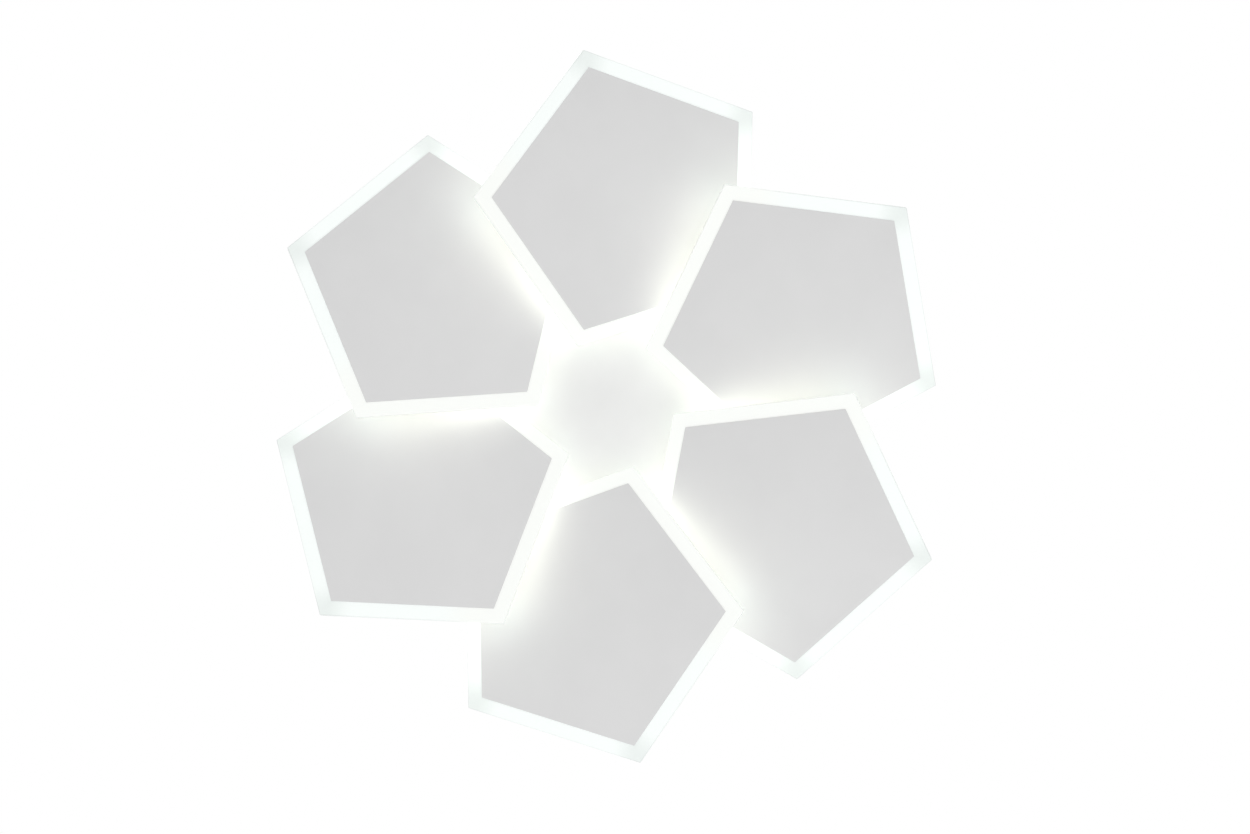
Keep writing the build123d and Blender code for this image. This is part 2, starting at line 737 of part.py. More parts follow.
# Components on the circuit board
component_boxes = [
    input_block,
    filter_capacitor,
    transformer_core,
    transformer_coil,
    switch_sink,
    diode_sink,
    fuse,
]
component_cans = [choke, input_can, output_can_a, output_can_b]
with BuildPart() as components:
    for place, size, height in component_boxes:
        with BuildSketch(Plane.XY.offset(circuit_top)):
            with Locations(place):
                Rectangle(*size)
        extrude(amount=height)
    for place, radius, height in component_cans:
        with BuildSketch(Plane.XY.offset(circuit_top)):
            with Locations(place):
                Circle(radius)
        extrude(amount=height)
components.part.label = "driver_components"
export_step(components.part, "parts/driver_components.step")

# Small screws of the circuit board, the lid and the output board
screw_rows = [
    (circuit_post_spacing, circuit_top),
    (lid_post_spacing, driver_top + driver_sheet),
    (hub_screw_spacing, hub_top),
]
with BuildPart() as driver_screws:
    for spacing, level in screw_rows:
        with BuildSketch(Plane.XY.offset(level)):
            with GridLocations(*spacing, 2, 2):
                Circle(small_screw_head_radius)
        extrude(amount=small_screw_head_height)
        with BuildSketch(Plane.XY.offset(level)):
            with GridLocations(*spacing, 2, 2):
                Circle(small_screw_radius)
        extrude(amount=-small_screw_length)
driver_screws.part.label = "driver_screws"
export_step(driver_screws.part, "parts/driver_screws.step")

# Terminal block, with a pocket and a pair of wire ports for each pole
with BuildPart() as terminal_block:
    with BuildSketch(Plane.XY.offset(floor_level)):
        with Locations((terminal_x, terminal_y)):
            RectangleRounded(terminal_length, terminal_width, terminal_corner_radius)
    extrude(amount=terminal_height)
    with BuildSketch(Plane.XY.offset(floor_level)):
        with Locations((terminal_stud_x, terminal_y)):
            Rectangle(terminal_ear_length, terminal_ear_length)
            Circle(floor_stud_radius + stud_clearance, mode=Mode.SUBTRACT)
    extrude(amount=terminal_ear_height)
    with BuildSketch(Plane.XY.offset(terminal_top)):
        with Locations(*[(place, terminal_y) for place in pole_places]):
            Rectangle(button_length + 2 * button_clearance, button_width + 2 * button_clearance)
    extrude(amount=terminal_base - terminal_height, mode=Mode.SUBTRACT)
    with BuildSketch(Plane.XZ.offset(-terminal_y)):
        with Locations(*[(place, port_level) for place in pole_places]):
            Circle(wire_port_radius)
    extrude(amount=terminal_width / 2, both=True, mode=Mode.SUBTRACT)
terminal_block.part.label = "terminal_block"
export_step(terminal_block.part, "parts/terminal_block.step")

# Push buttons of the terminal block
for pole, place in zip(pole_names, pole_places):
    with BuildPart() as button:
        with BuildSketch(Plane.XY.offset(terminal_top + button_stand)):
            with Locations((place, terminal_y)):
                Rectangle(button_length, button_width)
        extrude(amount=-button_height)
        fillet(button.faces().sort_by(Axis.Z)[-1].edges(), button_edge_radius)
    button.part.label = f"{pole}_button"
    export_step(button.part, f"parts/{pole}_button.step")

# Spring clips in the terminal block's pockets
clip_run = button_width / 2 + button_clearance - clip_side_gap - clip_sheet / 2
clip_base = floor_level + terminal_base + clip_sheet / 2
clip_top = terminal_top + button_stand - button_height - button_travel - clip_top_gap
with BuildPart() as terminal_clips:
    for place in pole_places:
        with BuildSketch(Plane.YZ.offset(place)):
            with BuildLine():
                Polyline(
                    (terminal_y + clip_run, clip_base),
                    (terminal_y - clip_run, clip_base),
                    (terminal_y - clip_run, clip_top),
                    (terminal_y + clip_run / 2, (clip_base + clip_top) / 2),
                )
            trace(line_width=clip_sheet)
        extrude(amount=clip_width / 2, both=True)
terminal_clips.part.label = "terminal_clips"
export_step(terminal_clips.part, "parts/terminal_clips.step")

# Mains wires from the terminal block to the driver, and the earth wire to its lug
wire_start_y = terminal_y - clip_run - clip_sheet / 2 - wire_clip_gap
wire_end_x = input_block[0][0] + input_block[1][0] / 2
barrel_start_x = earth_stud_x + lug_radius + lug_barrel_radius
barrel_end_x = barrel_start_x + lug_barrel_length
barrel_level = floor_level + lug_barrel_radius
earth_x, neutral_x, line_x = pole_places
earth_dip_x = (earth_x + barrel_end_x) / 2
line_route = [
    (line_x, wire_start_y, port_level),
    (line_x, live_wire_offset, port_level),
    (wire_end_x, live_wire_offset, port_level),
]
neutral_route = [
    (neutral_x, wire_start_y, port_level),
    (neutral_x, neutral_wire_offset, port_level),
    (wire_end_x, neutral_wire_offset, port_level),
]
earth_route = [
    (earth_x, wire_start_y, port_level),
    (earth_x, earth_wire_offset, port_level),
    (earth_dip_x, earth_wire_offset, barrel_level),
    (barrel_end_x - lug_barrel_grip, earth_wire_offset, barrel_level),
]
with BuildPart() as mains_wires:
    for points in (line_route, neutral_route, earth_route):
        with BuildLine() as route:
            FilletPolyline(*points, radius=wire_bend_radius)
        with BuildSketch(Plane(origin=points[0], z_dir=(0, -1, 0))):
            Circle(wire_radius)
        sweep(path=route.line)
mains_wires.part.label = "mains_wires"
export_step(mains_wires.part, "parts/mains_wires.step")

# Earth lug, a flat ring with a barrel for the wire
lug_neck_length = barrel_start_x + lug_sheet - earth_stud_x
with BuildPart() as earth_lug:
    with BuildSketch(Plane.XY.offset(floor_level)):
        with Locations((earth_stud_x, earth_wire_offset)):
            Circle(lug_radius)
            Rectangle(lug_neck_length, 2 * lug_barrel_radius, align=(Align.MIN, Align.CENTER))
            Circle(floor_stud_radius + stud_clearance, mode=Mode.SUBTRACT)
    extrude(amount=lug_sheet)
    with BuildSketch(Plane.YZ.offset(barrel_start_x)):
        with Locations((earth_wire_offset, barrel_level)):
            Circle(lug_barrel_radius)
    extrude(amount=lug_barrel_length)
    with BuildSketch(Plane.YZ.offset(barrel_end_x)):
        with Locations((earth_wire_offset, barrel_level)):
            Circle(wire_radius + thread_clearance)
    extrude(amount=lug_sheet - lug_barrel_length, mode=Mode.SUBTRACT)
earth_lug.part.label = "earth_lug"
export_step(earth_lug.part, "parts/earth_lug.step")

# Flanged nuts on the canopy's studs
with BuildPart() as canopy_nuts:
    for stud, foot_top in zip(floor_studs, foot_tops):
        with BuildSketch(Plane.XY.offset(floor_level + foot_top)):
            with Locations(stud):
                Circle(m4_flange_radius)
                Circle(floor_stud_radius + thread_clearance, mode=Mode.SUBTRACT)
        extrude(amount=m4_flange_thickness)
        with BuildSketch(Plane.XY.offset(floor_level + foot_top + m4_flange_thickness)):
            with Locations(stud):
                RegularPolygon(radius=m4_nut_size / 2, side_count=6, major_radius=False)
                Circle(floor_stud_radius + thread_clearance, mode=Mode.SUBTRACT)
        extrude(amount=m4_nut_thickness)
canopy_nuts.part.label = "canopy_nuts"
export_step(canopy_nuts.part, "parts/canopy_nuts.step")
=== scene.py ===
import json
import math
import bmesh
import bpy
from mathutils import Matrix, Quaternion, Vector


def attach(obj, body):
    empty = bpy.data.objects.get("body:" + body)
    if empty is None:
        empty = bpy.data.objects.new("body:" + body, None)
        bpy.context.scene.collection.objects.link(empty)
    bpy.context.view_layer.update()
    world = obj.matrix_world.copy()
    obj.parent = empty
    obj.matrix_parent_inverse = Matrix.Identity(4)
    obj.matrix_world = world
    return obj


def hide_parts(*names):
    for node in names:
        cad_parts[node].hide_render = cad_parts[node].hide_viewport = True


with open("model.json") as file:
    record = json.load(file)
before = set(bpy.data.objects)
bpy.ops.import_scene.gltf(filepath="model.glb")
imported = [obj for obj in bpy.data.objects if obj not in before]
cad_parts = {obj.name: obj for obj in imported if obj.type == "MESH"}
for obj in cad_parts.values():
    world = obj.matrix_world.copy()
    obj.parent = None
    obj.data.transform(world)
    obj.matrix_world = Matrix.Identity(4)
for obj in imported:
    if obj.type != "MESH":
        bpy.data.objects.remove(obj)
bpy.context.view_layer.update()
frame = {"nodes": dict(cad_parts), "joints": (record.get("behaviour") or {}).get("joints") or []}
nodes = frame["nodes"]
joints = {joint["name"]: joint for joint in frame["joints"]}
mm = 0.001
headNumbers = range(1, 7)


# Camera and light

cameraSetup = {
    "distanceBelow": 1984.0,  # ceiling to the camera, in mm
    "imageWidth": 1250,  # pixels of the photograph, one of them 1 mm at the heads
    "imageRight": 84.6,  # row direction that points right in the photograph, in degrees
    "lampLeft": 16.3,  # lamp's middle left of and above the photograph's middle, in pixels
    "lampAbove": 9.65,
    "headLevel": 82.0,  # ceiling to the middle of the heads, in mm
}


def makeCamera(setup):
    data = bpy.data.cameras.new("photoCamera")
    camera = bpy.data.objects.new("photoCamera", data)
    bpy.context.scene.collection.objects.link(camera)
    data.sensor_width = 36.0
    data.lens = data.sensor_width * (setup["distanceBelow"] - setup["headLevel"]) / setup["imageWidth"]
    data.shift_x = setup["lampLeft"] / setup["imageWidth"]
    data.shift_y = -setup["lampAbove"] / setup["imageWidth"]
    data.clip_start = 0.05
    data.clip_end = 50.0
    right = Vector((math.cos(math.radians(setup["imageRight"])), math.sin(math.radians(setup["imageRight"])), 0))
    back = Vector((0, 0, -1))  # from the lamp towards the camera
    up = back.cross(right)
    camera.matrix_world = Matrix((right, up, back)).transposed().to_4x4()
    camera.location = (0, 0, -setup["distanceBelow"] * mm)
    bpy.context.scene.camera = camera


lightSetup = {
    "skyStrength": 1.0,  # what the object is lit by from all round
    "keyEnergy": 6.0,
    "keySize": 1.8,
    "keyPlace": (-1.3, 0.9, -1.7),
    "topEnergy": 5.0,
    "topSize": 1.6,
    "topPlace": (1.5, -0.9, 1.8),
    "floorLevel": -2.6,  # a usual room's floor
    "floorSize": 30.0,
}


def hexColour(code):
    channels = [int(code[i:i + 2], 16) / 255 for i in (0, 2, 4)]
    linear = [c / 12.92 if c <= 0.04045 else ((c + 0.055) / 1.055) ** 2.4 for c in channels]
    return (*linear, 1.0)


def addNode(tree, kind, settings=None, links=None):
    node = tree.nodes.new(kind)
    for name, value in (settings or {}).items():
        if isinstance(name, int) or name in node.inputs:
            node.inputs[name].default_value = value
        else:
            setattr(node, name, value)
    for name, source in (links or {}).items():
        tree.links.new(source, node.inputs[name])
    return node


def whiteWhereSeen(tree):
    # 1 for the camera's rays and for what gloss and glass show, 0 for the light on the object
    path = addNode(tree, "ShaderNodeLightPath")
    seen = addNode(tree, "ShaderNodeMath", {"operation": "MAXIMUM"},
                   {0: path.outputs["Is Camera Ray"], 1: path.outputs["Is Glossy Ray"]})
    return addNode(tree, "ShaderNodeMath", {"operation": "MAXIMUM"},
                   {0: seen.outputs[0], 1: path.outputs["Is Transmission Ray"]}).outputs[0]


def makeSky(setup):
    world = bpy.data.worlds.new("softRoom")
    world.use_nodes = True
    tree = world.node_tree
    tree.nodes.clear()
    light = addNode(tree, "ShaderNodeBackground", {"Color": hexColour("FFFFFF"), "Strength": setup["skyStrength"]})
    seen = addNode(tree, "ShaderNodeBackground", {"Color": hexColour("FFFFFF"), "Strength": 1.0})
    mix = addNode(tree, "ShaderNodeMixShader", None,
                  {0: whiteWhereSeen(tree), 1: light.outputs[0], 2: seen.outputs[0]})
    addNode(tree, "ShaderNodeOutputWorld", None, {"Surface": mix.outputs[0]})
    bpy.context.scene.world = world


def addLamp(name, place, size, energy):
    data = bpy.data.lights.new(name, "AREA")
    data.shape = "DISK"
    data.size = size
    data.energy = energy
    lamp = bpy.data.objects.new(name, data)
    lamp.location = place
    lamp.rotation_mode = "QUATERNION"
    lamp.rotation_quaternion = Vector(place).to_track_quat("Z", "Y")
    lamp.visible_camera = False
    bpy.context.scene.collection.objects.link(lamp)


def makeFloor(setup):
    bm = bmesh.new()
    bmesh.ops.create_grid(bm, x_segments=1, y_segments=1, size=setup["floorSize"] / 2)
    bmesh.ops.translate(bm, vec=(0, 0, setup["floorLevel"]), verts=bm.verts)
    mesh = bpy.data.meshes.new("floor")
    bm.to_mesh(mesh)
    bm.free()
    floor = bpy.data.objects.new("floor", mesh)
    bpy.context.scene.collection.objects.link(floor)
    material = bpy.data.materials.new("palePaintedFloor")
    material.use_nodes = True
    tree = material.node_tree
    tree.nodes.clear()
    paint = addNode(tree, "ShaderNodeBsdfDiffuse", {"Color": hexColour("E6E6E6")})
    lift = addNode(tree, "ShaderNodeEmission", {"Color": hexColour("FFFFFF")}, {"Strength": whiteWhereSeen(tree)})
    both = addNode(tree, "ShaderNodeAddShader", None, {0: paint.outputs[0], 1: lift.outputs[0]})
    addNode(tree, "ShaderNodeOutputMaterial", None, {"Surface": both.outputs[0]})
    mesh.materials.append(material)


makeCamera(cameraSetup)
makeSky(lightSetup)
addLamp("keyLamp", lightSetup["keyPlace"], lightSetup["keySize"], lightSetup["keyEnergy"])
addLamp("topLamp", lightSetup["topPlace"], lightSetup["topSize"], lightSetup["topEnergy"])
makeFloor(lightSetup)
bpy.context.scene.view_settings.view_transform = "Standard"
print("camera and light made")


# Places of the heads, read from their joints

def headPlace(number):
    joint = joints[f"head_{number}_turn"]
    stem = Vector(joint["axis"]).normalized()
    uphill = (Vector((0, 0, 1)) - stem * stem.z).normalized()
    setting = -math.radians(sum(joint["range_deg"]) / 2)  # how far the head was turned on its stem
    uphill = Quaternion(stem, setting) @ uphill
    place = Matrix((uphill, stem.cross(uphill), stem)).transposed().to_4x4()
    place.translation = Vector(joint["pos_m"])
    return place


headPlaces = {number: headPlace(number) for number in headNumbers}
weldDistance = 0.01  # CAD triangles are joined within this, in mm


def islands(node):
    # centre and box of each separate solid of a CAD node, in mm
    bm = bmesh.new()
    bm.from_mesh(nodes[node].data)
    bmesh.ops.remove_doubles(bm, verts=bm.verts, dist=weldDistance * mm)
    left, found = set(bm.verts), []
    while left:
        group, edge = set(), [left.pop()]
        while edge:
            vert = edge.pop()
            group.add(vert)
            near = {link.other_vert(vert) for link in vert.link_edges} & left
            left -= near
            edge += near
        low = Vector(min(vert.co[axis] for vert in group) for axis in range(3)) / mm
        high = Vector(max(vert.co[axis] for vert in group) for axis in range(3)) / mm
        found.append(((low + high) / 2, low, high))
    bm.free()
    return sorted(found, key=lambda item: tuple(round(value, 3) for value in item[0]))


lockPlaces = islands("arm_locknuts")
armBearing = math.atan2(lockPlaces[0][0].y, lockPlaces[0][0].x)


# Finishes

def newMaterial(name, colour, roughness, metallic=0.0, **sockets):
    material = bpy.data.materials.new(name)
    material.use_nodes = True
    shader = material.node_tree.nodes["Principled BSDF"]
    shader.inputs["Base Color"].default_value = hexColour(colour)
    shader.inputs["Roughness"].default_value = roughness
    shader.inputs["Metallic"].default_value = metallic
    for socket, value in sockets.items():
        shader.inputs[socket.replace("_", " ")].default_value = value
    return material, material.node_tree, shader


def millimetres(tree):
    # Object coordinates in mm, so that a noise scale is one over a size in mm
    place = addNode(tree, "ShaderNodeTexCoord").outputs["Object"]
    return addNode(tree, "ShaderNodeMapping", {"Scale": (1000, 1000, 1000)}, {"Vector": place}).outputs[0]


def noiseOf(tree, place, size, detail=2.0):
    return addNode(tree, "ShaderNodeTexNoise", {"Scale": 1 / size, "Detail": detail}, {"Vector": place}).outputs[0]


def blend(tree, factor, low, high, darkest=0.35, lightest=0.65):
    ramp = addNode(tree, "ShaderNodeValToRGB", None, {"Fac": factor})
    ramp.color_ramp.elements[0].position = darkest
    ramp.color_ramp.elements[0].color = hexColour(low)
    ramp.color_ramp.elements[1].position = lightest
    ramp.color_ramp.elements[1].color = hexColour(high)
    return ramp.outputs[0]


def bumpFrom(tree, shader, height, distance, strength=1.0):
    # distance is the relief's real height in mm
    bump = addNode(tree, "ShaderNodeBump", {"Distance": distance * mm, "Strength": strength}, {"Height": height})
    tree.links.new(bump.outputs[0], shader.inputs["Normal"])


def roughnessFrom(tree, shader, factor, low, high):
    spread = addNode(tree, "ShaderNodeMapRange", {"To Min": low, "To Max": high}, {"Value": factor})
    tree.links.new(spread.outputs[0], shader.inputs["Roughness"])


def powderCoat(name, low, high, roughness, peel):
    # polyester powder baked on steel: an even colour with a soft orange-peel skin
    material, tree, shader = newMaterial(name, low, roughness)
    place = millimetres(tree)
    cloud = noiseOf(tree, place, 55.0)  # the gun's slightly uneven passes
    tree.links.new(blend(tree, cloud, low, high), shader.inputs["Base Color"])
    skin = noiseOf(tree, place, peel)  # real peel is about 0.5 mm, drawn coarser so that it shows
    bumpFrom(tree, shader, skin, 0.03)
    roughnessFrom(tree, shader, skin, roughness - 0.05, roughness + 0.05)
    return material


plateCoat = powderCoat("powderCoatMattWhite", "E0E0E0", "E2E2E2", 0.62, 2.2)
bodyCoat = powderCoat("powderCoatSatinWhite", "DDDDDA", "E0E0DD", 0.42, 1.8)
# the canopy's copy of the satin coat is drawn lighter than the arms' and trays': painted light for the glow the
# heads throw on it
canopyCoatPaintedLighter = powderCoat("powderCoatSatinCanopyPaintedLight", "E9E9E9", "ECECEC", 0.42, 1.8)


acrylicSetup = {
    "surface": "E1E6E4",  # frosted PMMA, cool where little light reaches it
    "roughness": 0.32,
    "litColour": "FCFFFE",
    "innerPaintedLightColour": "FFF8F2",  # of the two sides that face the lamp's middle: painted light, warmer as if lit by the neighbouring heads and the canopy
    "cornerColour": "F6FFFA",
    "edgeColour": "FEFFF2",  # a little warmer where the light leaves the edge and the back
    "edgeCornerColour": "F2FFF7",
    "frontStrength": 0.27,  # the face that looks into the room
    "edgeStrength": 2.35,  # what the cut edge casts
    "backStrength": 1.6,  # and the strip behind, which lights the head underneath
    "seenStrength": 0.13,  # both as they show, short of clipping
    "hiddenStrength": 0.08,  # where the tray covers the guide
    "cornerShare": 0.6,  # what a corner shows of the light at the middle of a side
    "innerFade": (70.0, 135.0),  # from the lamp's axis; the sides cast less where they near each other
    "innerShare": 0.55,
    "paintedLitCorners": (20.0, 60.0),  # along the head's own Y; the two corners beyond show full light, painted light for what the neighbouring heads and the canopy throw on them
    "paintedEdgeShade": (124.1, 124.5),  # reach of the sheet's broken outer edge, where a thin darker line of painted shade is drawn
    "paintedEdgeShadeLoss": 0.4,
    "litHalf": 58.0,  # half of an LED bar, in mm
    "cornerHalf": 86.0,
    "edgeDepth": (1.4, 1.8),  # head's front to the cut edge, in mm
    "backDepth": (8.2, 8.9),  # and to the strip behind
    "hiddenReach": 107.5,  # inside this the tray covers the guide's back
}


def headMillimetres(tree, number):
    # a head's own coordinates in mm: X uphill, Z from its front along its stem
    place = headPlaces[number]
    source = addNode(tree, "ShaderNodeTexCoord").outputs["Object"]
    return addNode(tree, "ShaderNodeMapping",
                   {"vector_type": "TEXTURE", "Location": place.translation, "Rotation": place.to_euler(),
                    "Scale": (mm, mm, mm)}, {"Vector": source}).outputs[0]


def calculate(tree, operation, first, second=0.0):
    node = addNode(tree, "ShaderNodeMath", {"operation": operation})
    for socket, value in enumerate((first, second)):
        if isinstance(value, (int, float)):
            node.inputs[socket].default_value = value
        else:
            tree.links.new(value, node.inputs[socket])
    return node.outputs[0]


def foldSides(tree, place):
    # distance from the head's middle across its nearest side, distance along that side, and depth
    parts = addNode(tree, "ShaderNodeSeparateXYZ", None, {"Vector": place})
    turn = calculate(tree, "ARCTAN2", parts.outputs["Y"], parts.outputs["X"])
    side = math.radians(72)
    fold = calculate(tree, "SUBTRACT", calculate(tree, "FLOORED_MODULO", turn, side), side / 2)
    flat = addNode(tree, "ShaderNodeVectorMath", {"operation": "MULTIPLY", 1: (1, 1, 0)}, {0: place})
    length = addNode(tree, "ShaderNodeVectorMath", {"operation": "LENGTH"}, {0: flat.outputs[0]}).outputs["Value"]
    reach = calculate(tree, "MULTIPLY", length, calculate(tree, "COSINE", fold))
    along = calculate(tree, "ABSOLUTE", calculate(tree, "MULTIPLY", length, calculate(tree, "SINE", fold)))
    return reach, along, parts.outputs["Z"]


def smoothStep(tree, value, start, end, low=0.0, high=1.0):
    return addNode(tree, "ShaderNodeMapRange",
                   {"interpolation_type": "SMOOTHSTEP", "From Min": start, "From Max": end,
                    "To Min": low, "To Max": high}, {"Value": value}).outputs[0]


def edgeLitAcrylic(number, setup):
    # laser-cut frosted acrylic, lit through its slots: bright along each LED bar and dim at the corners
    material, tree, shader = newMaterial(f"edgeLitAcrylic{number}", setup["surface"], setup["roughness"], IOR=1.49)
    place = headMillimetres(tree, number)
    reach, along, depth = foldSides(tree, place)
    inward = addNode(tree, "ShaderNodeSeparateXYZ", None, {"Vector": place}).outputs["Y"]
    away = smoothStep(tree, along, setup["litHalf"], setup["cornerHalf"])
    # painted light: the two corners nearest the lamp's middle are kept undimmed and warmer, standing in for light
    # from the neighbours and canopy
    inner = smoothStep(tree, inward, *setup["paintedLitCorners"])
    outer = calculate(tree, "SUBTRACT", 1.0, inner)
    dim = calculate(tree, "MULTIPLY", away, outer)
    # painted shade: a thin darker line along the outer sides' edge, as the cut edge seen edge-on would show
    paintedEdgeShade = calculate(tree, "MULTIPLY", outer, smoothStep(tree, reach, *setup["paintedEdgeShade"], 0.0, setup["paintedEdgeShadeLoss"]))
    edge = smoothStep(tree, depth, *setup["edgeDepth"])
    back = smoothStep(tree, depth, *setup["backDepth"], setup["edgeStrength"], setup["backStrength"])
    seen = addNode(tree, "ShaderNodeLightPath").outputs["Is Camera Ray"]
    shown = addNode(tree, "ShaderNodeMix", {2: 1.0, 3: setup["cornerShare"]}, {0: dim})
    drawn = calculate(tree, "SUBTRACT", shown.outputs[0], paintedEdgeShade)
    flat = addNode(tree, "ShaderNodeVectorMath", {"operation": "MULTIPLY", 1: (1, 1, 0)}, {0: millimetres(tree)})
    radius = addNode(tree, "ShaderNodeVectorMath", {"operation": "LENGTH"}, {0: flat.outputs[0]}).outputs["Value"]
    given = smoothStep(tree, radius, *setup["innerFade"], setup["innerShare"], 1.0)
    share = addNode(tree, "ShaderNodeMix", None, {0: seen, 2: given, 3: drawn})
    cast = addNode(tree, "ShaderNodeMix", {3: setup["seenStrength"]}, {0: seen, 2: back})
    covered = addNode(tree, "ShaderNodeMix", {3: setup["hiddenStrength"]},
                      {0: calculate(tree, "LESS_THAN", reach, setup["hiddenReach"]), 2: cast.outputs[0]})
    strength = addNode(tree, "ShaderNodeMix", {2: setup["frontStrength"]}, {0: edge, 3: covered.outputs[0]})
    lit = addNode(tree, "ShaderNodeMix", {"data_type": "RGBA", 6: hexColour(setup["litColour"]),
                                          7: hexColour(setup["innerPaintedLightColour"])}, {0: inner})
    front = addNode(tree, "ShaderNodeMix", {"data_type": "RGBA", 7: hexColour(setup["cornerColour"])},
                    {0: dim, 6: lit.outputs[2]})
    sides = addNode(tree, "ShaderNodeMix", {"data_type": "RGBA", 6: hexColour(setup["edgeColour"]),
                                            7: hexColour(setup["edgeCornerColour"])}, {0: away})
    colour = addNode(tree, "ShaderNodeMix", {"data_type": "RGBA"},
                     {0: edge, 6: front.outputs[2], 7: sides.outputs[2]})
    tree.links.new(colour.outputs[2], shader.inputs["Emission Color"])
    light = calculate(tree, "MULTIPLY", share.outputs[0], strength.outputs[0])
    tree.links.new(light, shader.inputs["Emission Strength"])
    frost = noiseOf(tree, millimetres(tree), 1.5)  # sandblasted grain, drawn coarser than its 0.1 mm
    bumpFrom(tree, shader, frost, 0.01)
    return material


def colourSteps(tree, measure, first, steps):
    # one colour after another as a measure grows; steps is a list of (where it starts, colour)
    colour = hexColour(first)
    for start, code in steps:
        mix = addNode(tree, "ShaderNodeMix", {"data_type": "RGBA", 7: hexColour(code)},
                      {0: calculate(tree, "GREATER_THAN", measure, start)})
        if isinstance(colour, tuple):
            mix.inputs[6].default_value = colour
        else:
            tree.links.new(colour, mix.inputs[6])
        colour = mix.outputs[2]
    return colour


ledBarSetup = {
    "aluminium": "C9CCCE",
    "roughness": 0.4,
    "mask": (96.82, "F2F2EE"),  # reach where the white solder mask starts, in mm
    "phosphor": (97.82, "F4D36A"),  # and where the chips' yellow phosphor does
    "glow": 4.0,
    "light": "FFF8E8",
}


def ledBar(number, setup):
    # mill-finish aluminium angle, with a white board and yellow lit chips on its outer leg
    material, tree, shader = newMaterial(f"ledBar{number}", setup["aluminium"], setup["roughness"])
    reach = foldSides(tree, headMillimetres(tree, number))[0]
    colour = colourSteps(tree, reach, setup["aluminium"], [setup["mask"], setup["phosphor"]])
    tree.links.new(colour, shader.inputs["Base Color"])
    metal = calculate(tree, "LESS_THAN", reach, setup["mask"][0])
    tree.links.new(metal, shader.inputs["Metallic"])
    lit = calculate(tree, "MULTIPLY", calculate(tree, "GREATER_THAN", reach, setup["phosphor"][0]), setup["glow"])
    tree.links.new(lit, shader.inputs["Emission Strength"])
    shader.inputs["Emission Color"].default_value = hexColour(setup["light"])
    return material


def zincPlate(name="brightZincPlate"):
    # zinc plated and passivated steel: a bluish metal with faint straw clouds
    material, tree, shader = newMaterial(name, "C4C8CE", 0.3, 1.0)
    place = millimetres(tree)
    cloud = noiseOf(tree, place, 4.0)
    tree.links.new(blend(tree, cloud, "BFC5CE", "D2D0C4"), shader.inputs["Base Color"])
    roughnessFrom(tree, shader, noiseOf(tree, place, 1.2, 4.0), 0.22, 0.42)
    return material


def galvanisedSheet():
    # hot-dip galvanised strip: grey spangle, each grain a little lighter or darker
    material, tree, shader = newMaterial("galvanisedSheet", "AEB3B7", 0.42, 1.0)
    place = millimetres(tree)
    spangle = addNode(tree, "ShaderNodeTexVoronoi", {"Scale": 1 / 3.5}, {"Vector": place})  # grains of 3.5 mm
    grain = addNode(tree, "ShaderNodeSeparateColor", None, {"Color": spangle.outputs["Color"]}).outputs[0]
    tree.links.new(blend(tree, grain, "A8ADB1", "BFC3C6", 0.0, 1.0), shader.inputs["Base Color"])
    roughnessFrom(tree, shader, grain, 0.32, 0.52)
    return material


def stampedStrip(name, low, high, roughness):
    # soft metal stamped from rolled strip: long faint streaks that the rolls leave
    material, tree, shader = newMaterial(name, low, roughness, 1.0)
    place = addNode(tree, "ShaderNodeMapping", {"Scale": (0.15, 1, 1)}, {"Vector": millimetres(tree)}).outputs[0]
    streak = noiseOf(tree, place, 0.8, 4.0)
    tree.links.new(blend(tree, streak, low, high), shader.inputs["Base Color"])
    roughnessFrom(tree, shader, streak, roughness - 0.08, roughness + 0.08)
    return material


def mouldedPlastic(name, low, high, roughness, grainSize=0.8, relief=0.02):
    # injection-moulded plastic with a fine spark-eroded grain
    material, tree, shader = newMaterial(name, low, roughness)
    place = millimetres(tree)
    tree.links.new(blend(tree, noiseOf(tree, place, 18.0), low, high), shader.inputs["Base Color"])
    bumpFrom(tree, shader, noiseOf(tree, place, grainSize), relief)
    return material


boardSetup = {
    "mask": "17603A",
    "track": "2A8450",
    "pad": "C9CCCC",
    "trackHalf": (1.2, 2.4),  # across from a socket's middle line, in mm
    "trackRun": (9.0, 30.0),  # from the board's middle, in mm
    "padRun": (21.5, 24.0),
    "rings": ((8.2, 9.4), (10.4, 11.6)),
    "copper": 0.035,
}


def between(tree, value, span):
    return calculate(tree, "MULTIPLY", calculate(tree, "GREATER_THAN", value, span[0]),
                     calculate(tree, "LESS_THAN", value, span[1]))


